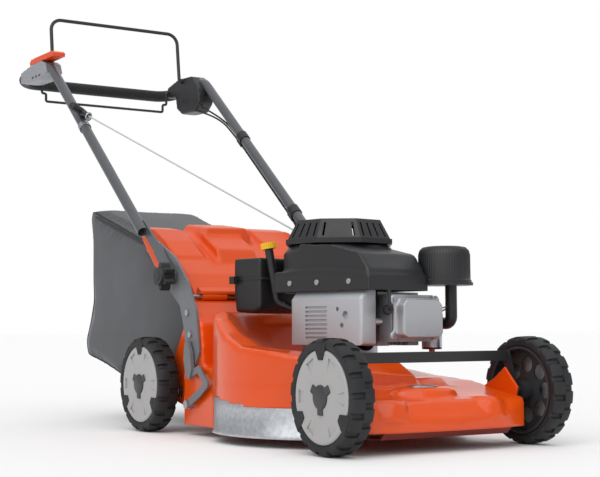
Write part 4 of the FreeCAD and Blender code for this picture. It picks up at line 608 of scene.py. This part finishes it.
BAG_SIDE = [(247, 278), (262, 288), (320, 338), (541, 440), (862, 538), (877, 530), (868, 301), (905, 194),
            (892, 159), (697, 113), (386, 150), (372, 160)]
BAG_HALF = 155.0
blank = bmesh.new()
slab_x(blank, BAG_SIDE, -BAG_HALF + 3, BAG_HALF - 3)
cloth_shape = melted(outward(blank), "bag_blank", 6.0, 8)
limits = [v.co.copy() for v in cloth_shape.verts]
bag = fit(cloth_shape, "bag_cloth", "grass_bag", bag_cloth, ["bag_fabric"], smooth=80)
bag.parent = None
air = bag.modifiers.new("air", "CLOTH")
air.settings.quality = 5
air.settings.mass = 0.25
air.settings.tension_stiffness = 40
air.settings.compression_stiffness = 40
air.settings.bending_stiffness = 1.5
air.settings.use_pressure = True
air.settings.uniform_pressure_force = 2.5
air.settings.effector_weights.gravity = 0.0
air.collision_settings.use_self_collision = False
air.point_cache.frame_start = 1
air.point_cache.frame_end = 14
for moment in range(1, 15):
    scene.frame_set(moment)
blown = bmesh.new()
blown.from_object(bag, bpy.context.evaluated_depsgraph_get())
blown.verts.ensure_lookup_table()
for vert, start in zip(blown.verts, limits):
    step = vert.co - start
    if step.length > 0.006:
        vert.co = start + step * (0.006 / step.length)
scene.frame_set(1)
bag.modifiers.clear()
bmesh.ops.delete(blown, geom=[f for f in blown.faces if f.calc_center_median().y + 0.365 < 0.262
                              + (0.288 - f.calc_center_median().z) * 0.93
                              and f.calc_center_median().z < 0.28], context="FACES")
blown.to_mesh(bag.data)
blown.free()
bag.data.shade_smooth()
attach(bag, "grass_bag")
hem = bag.modifiers.new("cloth_thickness", "SOLIDIFY")
hem.thickness = 0.0012
hem.offset = -1.0


def corded(points, radius_mm, name, body, finish, stands_for=(), closed=False, free=False):
    """A round cord through drawing points, as a smooth curve turned into a mesh."""
    path = bpy.data.curves.new(name, "CURVE")
    path.dimensions = "3D"
    path.bevel_depth = radius_mm / 1000.0
    path.bevel_resolution = 4
    path.use_fill_caps = True
    path.resolution_u = 10
    line = path.splines.new("NURBS")
    line.points.add(len(points) - 1)
    for spot, point in zip(points, line.points):
        point.co = (*at(*spot), 1.0)
    line.order_u = 3
    line.use_endpoint_u = not closed
    line.use_cyclic_u = closed
    drawn = bpy.data.objects.new(name, path)
    scene.collection.objects.link(drawn)
    shape = bmesh.new()
    drawn_now = drawn.evaluated_get(bpy.context.evaluated_depsgraph_get())
    shape.from_mesh(drawn_now.to_mesh())
    drawn_now.to_mesh_clear()
    bpy.data.objects.remove(drawn)
    bmesh.ops.remove_doubles(shape, verts=shape.verts, dist=1e-6)
    piece = fit(outward(shape), name, body or "root", finish, stands_for, smooth=50)
    if free:
        piece.parent = None
    return piece


def rounded(outline, cut_mm):
    """Replace each corner of a closed outline by two points close to it."""
    eased = []
    for before, corner, after in zip(outline[-1:] + outline[:-1], outline, outline[1:] + outline[:1]):
        corner = Vector(corner)
        for other in (before, after):
            run = Vector(other) - corner
            eased.append(tuple(corner + run * min(0.45, cut_mm / run.length)))
    return eased


def hugging(cloth, spots, step_mm):
    """Walk along drawing points in short steps and drop each step onto the cloth."""
    laid = []
    for first, second in zip(spots, spots[1:]):
        run = Vector(second) - Vector(first)
        count = max(1, round(run.length / step_mm))
        for k in range(count):
            spot = Vector(first) + run * (k / count)
            near = cloth.closest_point_on_mesh(at(*spot))[1] * 1000
            laid.append((near.x, near.y + 365.0, near.z))
    return laid


bpy.context.view_layer.update()
for side, name in ((-1, "right"), (1, "left")):
    edge_line = [(side * BAG_HALF, y, z) for y, z in rounded(BAG_SIDE[1:11], 14)[1:-1]]
    corded(hugging(bag, edge_line, 14), 2.2, f"bag_piping_{name}", "grass_bag", piping)


# ---- Engine: aluminium block and head, with steel, cast and moulded parts screwed around it.
# It stands turned ten degrees, so its pieces are drawn square and then turned about the crankshaft.

def on_engine(shape):
    """Turn and move a shape drawn about the crankshaft to its place on the deck."""
    bmesh.ops.rotate(shape, verts=shape.verts, cent=at(0, 0, 0), matrix=Matrix.Rotation(math.radians(10), 3, "Z"))
    bmesh.ops.translate(shape, verts=shape.verts, vec=(0, ENGINE_Y / 1000.0, 0))
    return outward(shape)


def dress(finish, bevel_mm, *names):
    """Give CAD pieces a finish and soft edges."""
    for name in names:
        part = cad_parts[name]
        part.data.materials.clear()
        part.data.materials.append(finish)
        part.data.shade_smooth()
        part.data.set_sharp_from_angle(angle=math.radians(32))
        if bevel_mm:
            edge = part.modifiers.new("edges", "BEVEL")
            edge.width = bevel_mm / 1000.0
            edge.segments = 2
            edge.limit_method = "ANGLE"
            edge.angle_limit = math.radians(38)
            edge.harden_normals = True


black_nylon = grained(plain("satin_black_nylon", "1b1c1e", 0.4, ior=1.53), 0.8, 0.05, 0.34, 0.5)
cast_aluminium = grained(plain("sand_cast_aluminium", "a9acb0", 0.5, metallic=0.9), 1.2, 0.18, 0.42, 0.6)
mottled(cast_aluminium, "9a9da1", "b7babd", 50)
turned_steel = grained(plain("zinc_plated_steel", "b4b6ba", 0.32, metallic=1.0), 2.0, 0.02, 0.26, 0.42)
heat_paint = grained(plain("heat_proof_silver_paint", "b9bcc0", 0.46, metallic=0.55), 0.9, 0.04, 0.4, 0.54)

dress(cast_aluminium, 0.8, "engine_block", "gearbox", "blade_adapter")
dress(turned_steel, 0.5, "bolts", "spark_plug", "muffler", "crankshaft", "gearbox_pulley", "blade_bolt",
      "flap_hinge_rod", "rope_guide")
dress(grained(plain("hardened_blade_steel", "8c8f93", 0.4, metallic=1.0), 2.0, 0.05, 0.34, 0.5), 0.6, "blade")
dress(black_nylon, 0.8, "recoil_cover", "flywheel_fan", "carburettor", "fuel_cap", "oil_filler_tube",
      "cable_clips", "air_cleaner_base")
dress(grained(plain("moulded_black_rubber", "1f2022", 0.6), 1.0, 0.05, 0.5, 0.7), 0.4, "plug_lead", "drive_belt")
dress(plain("yellow_polypropylene", "e9b90c", 0.42, ior=1.49, Subsurface_Weight=0.05), 0.5, "dipstick_cap")


# ---- Blower shroud: black moulded cover that leads the fan's air to the fins.
# One satin nylon moulding with a stepped side and a rounded rear, held by four screws.

cowl = bmesh.new()
drum(cowl, 116, 116, (0, 0), 292, 381, 96)
drum(cowl, 116, 104, (0, 0), 380.5, 398, 96)
slab_x(cowl, [(0, 292), (0, 398), (-95, 392), (-172, 374), (-198, 340), (-204, 292)], -116, 44)
slab_x(cowl, [(70, 292), (70, 343), (-60, 343), (-150, 338), (-203, 330), (-206, 292)], -121, 48)
cowl = melted(cowl, "cowl_blank", 4.0, 4)
sliced(cowl, at(0, 0, 300), (0, 0, -1))
cowl_piece = fit(on_engine(cowl), "shroud_moulding", "root", black_nylon, ["blower_shroud"],
                 smooth=60)
cowl_wall = cowl_piece.modifiers.new("wall", "SOLIDIFY")
cowl_wall.thickness = 0.003
cowl_wall.offset = -1.0
dots = bmesh.new()
for x, y, z in ((-121, -60, 318), (-121, 20, 318), (-121, -150, 318)):
    made = bmesh.ops.create_cone(dots, cap_ends=True, segments=24, radius1=0.0065, radius2=0.0055, depth=0.005)
    bmesh.ops.rotate(dots, verts=made["verts"], cent=(0, 0, 0), matrix=Matrix.Rotation(-math.pi / 2, 3, "Y"))
    bmesh.ops.translate(dots, verts=made["verts"], vec=at(x, y, z))
fit(on_engine(dots), "shroud_screws", "root", turned_steel, (), 0.6)


# ---- Muffler shield: pressed steel cover with louvres, a mesh outlet and three holes.
# Heat-proof silver paint over thin sheet; bevelled along its top and screwed to the head.

shield = bmesh.new()
slab_y(shield, [(-80, 194), (-124, 194), (-124, 284), (-106, 306), (-80, 306)], -186, 16)
bmesh.ops.bevel(shield, geom=[e for e in shield.edges if e.calc_length() < 0.12], offset=0.007, segments=3,
                profile=0.5, affect="EDGES", material=-1)
cuts = bmesh.new()
for number in range(8):
    slab_y(cuts, [(-128, 206 + number * 8.6), (-119, 206 + number * 8.6), (-119, 210.4 + number * 8.6),
                  (-128, 210.4 + number * 8.6)], -90, -28)
for y, z, radius in ((-142, 252, 8), (-120, 264, 4), (-132, 232, 5)):
    made = bmesh.ops.create_cone(cuts, cap_ends=True, segments=28, radius1=radius / 1000, radius2=radius / 1000,
                                 depth=0.012)
    bmesh.ops.rotate(cuts, verts=made["verts"], cent=(0, 0, 0), matrix=Matrix.Rotation(math.pi / 2, 3, "Y"))
    bmesh.ops.translate(cuts, verts=made["verts"], vec=at(-123, y, z))
shield = carved(outward(shield), outward(cuts))
fit(on_engine(shield), "shield_pressed", "root", heat_paint, ["muffler_cover"], 0.6)


# ---- Valve cover: pressed aluminium box on a flange with four screw ears.
# Satin heat-proof silver; the raised face is drawn with generous rounds.

cover = bmesh.new()
slab_y(cover, [(-56, 208), (68, 208), (68, 286), (-56, 286)], -208, -203)
slab_y(cover, [(-50, 214), (-38, 208), (52, 208), (62, 214), (62, 272), (52, 282), (-40, 282), (-50, 272)],
       -229, -206)
for x, z in ((-56, 212), (66, 212), (-56, 282), (66, 282)):
    made = bmesh.ops.create_cone(cover, cap_ends=True, segments=28, radius1=0.0095, radius2=0.0095, depth=0.006)
    bmesh.ops.rotate(cover, verts=made["verts"], cent=(0, 0, 0), matrix=Matrix.Rotation(math.pi / 2, 3, "X"))
    bmesh.ops.translate(cover, verts=made["verts"], vec=at(x, -206, z))
fit(on_engine(melted(outward(cover), "cover_blank", 2.2, 4)), "valve_cover_pressed", "root",
    heat_paint, ["valve_cover"], smooth=60)


# ---- Air cleaner: ribbed black cap on a round base, with an elbow down to the carburettor.
# Satin moulded nylon; the ribs run up the cap's side.

cap = spun(bmesh.new(), [(0, 318), (55, 318), (55, 322), (53, 324), (52.6, 374), (50, 383), (44, 389), (34, 391),
                         (0, 391)], 180)
for vert in cap.verts:
    across = Vector((vert.co.x, vert.co.y, 0))
    turn = math.atan2(across.y, across.x) / math.tau * 60
    if 0.326 < vert.co.z < 0.384 and across.length > 0.045 and round(turn * 3) % 3 == 0:
        vert.co -= across.normalized() * 0.0014
bmesh.ops.translate(cap, verts=cap.verts, vec=at(102, -199, 0))
fit(on_engine(cap), "air_cleaner_cap", "root", black_nylon, ["air_cleaner_cover"], smooth=40)


# ---- Fuel tank: black blow-moulded polyethylene behind the engine.
# Two soft halves with a moulded seam flange all round and a lug on one end.

tank = bmesh.new()
slab_x(tank, [(126, 270), (126, 376), (212, 376), (212, 300), (206, 262), (140, 258)], -110, 88)
tank = melted(outward(tank), "tank_blank", 4.0, 9)
slab_z(tank, [(-113, 132), (-104, 123), (82, 123), (91, 132), (91, 206), (82, 215), (-104, 215), (-113, 206)],
       330, 335)
slab_z(tank, [(-122, 196), (-108, 196), (-108, 212), (-122, 212)], 322, 338)
fit(on_engine(tank), "tank_moulded", "root", grained(
    plain("blow_moulded_black_polyethylene", "1d1e20", 0.38, ior=1.51), 1.4, 0.08, 0.3, 0.46), ["fuel_tank"],
    smooth=50)


# ---- Carburettor dressing: bright float bowl, brass-orange drain screw and the governor's two link rods.
# They are pressed and turned parts on the moulded carburettor body.

bowl = spun(bmesh.new(), [(0, 183.4), (15, 183.6), (19.5, 186), (20.6, 190), (20.6, 216), (22, 217), (22, 220),
                          (0, 220)], 48)
bmesh.ops.translate(bowl, verts=bowl.verts, vec=at(88, -176, 0))
fit(on_engine(bowl), "float_bowl", "root", turned_steel, (), smooth=40)
drain = spun(bmesh.new(), [(0, 169.4), (5.4, 170), (6.2, 174), (6.2, 184), (0, 184)], 24)
bmesh.ops.translate(drain, verts=drain.verts, vec=at(88, -176, 0))
fit(on_engine(drain), "bowl_drain", "root", plain("orange_acetal", "c24a12", 0.4, ior=1.48), (),
    0.4)
for number, z in enumerate((262, 270)):
    rod_shape = bmesh.new()
    made = bmesh.ops.create_cone(rod_shape, cap_ends=True, segments=16, radius1=0.0016, radius2=0.0016, depth=0.07)
    bmesh.ops.rotate(rod_shape, verts=made["verts"], cent=(0, 0, 0),
                     matrix=Matrix.Rotation(math.radians(72 + 8 * number), 3, "Y"))
    bmesh.ops.translate(rod_shape, verts=made["verts"], vec=at(92, -193 - 4 * number, z - 4))
    fit(on_engine(rod_shape), f"governor_link_{number + 1}", "root", turned_steel, ())


# ---- Handle: bent steel tube with a folding lower end, foam grip and steel brackets.
# Semi-gloss dark grey powder coat on the tube; the brackets and axle bars are satin grey and black.

tube_paint = grained(plain("dark_grey_powder_coat", "4d4f53", 0.34, ior=1.5, Coat_Weight=0.3, Coat_Roughness=0.2),
                     1.2, 0.03, 0.28, 0.42)
black_paint = grained(plain("satin_black_steel_paint", "232426", 0.4, ior=1.5), 1.2, 0.04, 0.34, 0.48)
bracket_paint = grained(plain("grey_steel_paint", "6b6d71", 0.42, ior=1.5), 1.2, 0.04, 0.36, 0.5)
dress(tube_paint, 0.0, "handle_tube")
dress(black_paint, 0.6, "front_axle", "rear_axle", "bag_frame", "bail_brake", "bail_drive")
dress(bracket_paint, 0.8, "handle_brackets", "height_lever")

foam = grained(plain("closed_cell_foam", "1b1c1d", 0.85, ior=1.45, Sheen_Weight=0.2), 0.7, 0.2, 0.8, 0.92)
dress(foam, 1.2, "grip_foam")
dress(plain("orange_nylon_lever", "df470c", 0.38, ior=1.53), 1.0, "throttle_lever")


# ---- Knobs: six-lobed black nylon hand knobs with a domed face and a screw in the middle.
# Each clamps the folding handle to its bracket.

for side, name in ((-1, "right"), (1, "left")):
    star = bmesh.new()
    rim = [((24.5 + 6.5 * math.cos(6 * a)) / 1000.0, a) for a in [k * math.tau / 96 for k in range(96)]]
    ring_points = [star.verts.new((r * math.cos(a), r * math.sin(a), 0.004)) for r, a in rim]
    face = star.faces.new(ring_points)
    pulled = bmesh.ops.extrude_face_region(star, geom=[face], use_keep_orig=True)
    bmesh.ops.translate(star, verts=[v for v in pulled["geom"] if isinstance(v, bmesh.types.BMVert)],
                        vec=(0, 0, 0.024))
    for low, high, wide in ((0, 8, 17), (26, 34, 21), (32, 35.5, 12)):
        made = bmesh.ops.create_cone(star, cap_ends=True, segments=48, radius1=wide / 1000,
                                     radius2=(wide - 1.5) / 1000, depth=(high - low) / 1000)
        bmesh.ops.translate(star, verts=made["verts"], vec=(0, 0, (low + high) / 2000))
    bmesh.ops.rotate(star, verts=star.verts, cent=(0, 0, 0), matrix=Matrix.Rotation(math.pi / 2, 3, "Y"))
    bmesh.ops.scale(star, verts=star.verts, vec=(side, 1, 1))
    bmesh.ops.translate(star, verts=star.verts, vec=at(side * 225.2, 274, 342))
    fit(outward(star), f"knob_{name}_moulded", f"knob_{name}", black_nylon, [f"knob_{name}"], 1.4)


# ---- Control housings: a grey casting on the right with the throttle, a black box on the left.
# Both are rounded mouldings around the tube; the box takes the two cables.

grey_housing = grained(plain("satin_grey_nylon", "8d9094", 0.44, ior=1.53), 0.9, 0.06, 0.38, 0.5)
pod = bmesh.new()
slab_x(pod, [(950, 905), (962, 932), (985, 942), (1050, 942), (1132, 932), (1132, 902), (1090, 896), (1000, 893)],
       -250, -201)
pod = melted(outward(pod), "pod_blank", 3.2, 6)
fit(pod, "lever_pod", "handle", grey_housing, ["lever_housing"], smooth=60)
# Three black patches on the grey pod are painted shade: they stand for the dark insides of its slots, which are not
# cut.
slots = bmesh.new()
for number in range(3):
    slab_x(slots, [(985 + number * 24, 903), (997 + number * 24, 901), (1001 + number * 24, 906),
                   (989 + number * 24, 908)], -250.6, -248)
fit(outward(slots), "pod_slots_painted_shade", "handle", black_nylon, (), 0.8)
box_form = bmesh.new()
slab_x(box_form, [(938, 862), (944, 905), (985, 944), (1060, 948), (1132, 932), (1132, 902), (1080, 896),
                  (1072, 862), (1040, 842), (968, 840)], 201, 249)
fit(melted(outward(box_form), "box_blank", 3.2, 6), "control_pod", "handle", black_nylon,
    ["control_box"], smooth=60)
disc_plate = bmesh.new()
made = bmesh.ops.create_cone(disc_plate, cap_ends=True, segments=48, radius1=0.03, radius2=0.028, depth=0.004)
bmesh.ops.rotate(disc_plate, verts=made["verts"], cent=(0, 0, 0), matrix=Matrix.Rotation(math.pi / 2, 3, "Y"))
bmesh.ops.translate(disc_plate, verts=made["verts"], vec=at(250, 1010, 893))
fit(outward(disc_plate), "control_pod_plate", "handle", black_nylon, (), 0.8)


# ---- Starter rope and cables: braided nylon rope and two plastic-sheathed cables.

rope_nylon = grained(plain("braided_nylon_rope", "b9bbbd", 0.8, Sheen_Weight=0.2), 1.0, 0.25)
EXIT, EYE = Vector((-20.0, 66.0, 430.0)), Vector((-231.0, 712.0, 757.0))
rope = corded([tuple(EXIT.lerp(EYE, k / 24)) for k in range(25)], 2.0, "rope_taut", None, rope_nylon,
              ["starter_rope"], free=True)
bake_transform(rope)
sheath = plain("black_pvc_sheath", "1c1d1f", 0.45, ior=1.52)
for name, route in (("brake", [(208, 961, 842), (222, 860, 812), (228, 775, 746), (228, 690, 674), (228, 560, 562),
                               (228, 475, 489), (222, 440, 446), (212, 410, 397), (204, 340, 350), (202, 265, 322),
                               (186, 190, 312), (146, 126, 308), (99, 80, 305)]),
                    ("drive", [(218, 948, 851), (230, 850, 808), (236, 775, 746), (236, 690, 674), (236, 560, 562),
                               (236, 475, 489), (222, 440, 440), (206, 420, 372), (200, 372, 290), (190, 352, 210),
                               (150, 352, 150), (90, 360, 128), (33, 366, 124)])):
    cable = corded(route, 2.5, f"cable_{name}", None, sheath, ["control_cables"], free=True)
    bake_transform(cable)


# ---- Starter grip: black T-shaped moulded nylon handle that rests against the eye.
# The cross bar swells in the middle for the fingers.

pull_axis = (EYE - EXIT).normalized()
middle = EYE + pull_axis * 33.0
bar_axis = pull_axis.cross(Vector((0.2, 0.3, 0.93))).normalized()
grip_shape = spun(bmesh.new(), [
    (0, -37), (8.5, -36), (11, -30), (10, -16), (11.4, 0), (10, 16), (11, 30), (8.5, 36), (0, 37)], 40)
bmesh.ops.rotate(grip_shape, verts=grip_shape.verts, cent=(0, 0, 0),
                 matrix=bar_axis.to_track_quat("Z", "Y").to_matrix())
bmesh.ops.translate(grip_shape, verts=grip_shape.verts, vec=at(*middle))
neck = bmesh.ops.create_cone(grip_shape, cap_ends=True, segments=28, radius1=0.0055, radius2=0.009, depth=0.026)
bmesh.ops.rotate(grip_shape, verts=neck["verts"], cent=(0, 0, 0),
                 matrix=pull_axis.to_track_quat("Z", "Y").to_matrix())
bmesh.ops.translate(grip_shape, verts=neck["verts"], vec=at(*(EYE + pull_axis * 19.0)))
fit(outward(grip_shape), "grip_tee", "starter_grip", black_nylon, ["starter_grip"], smooth=50)
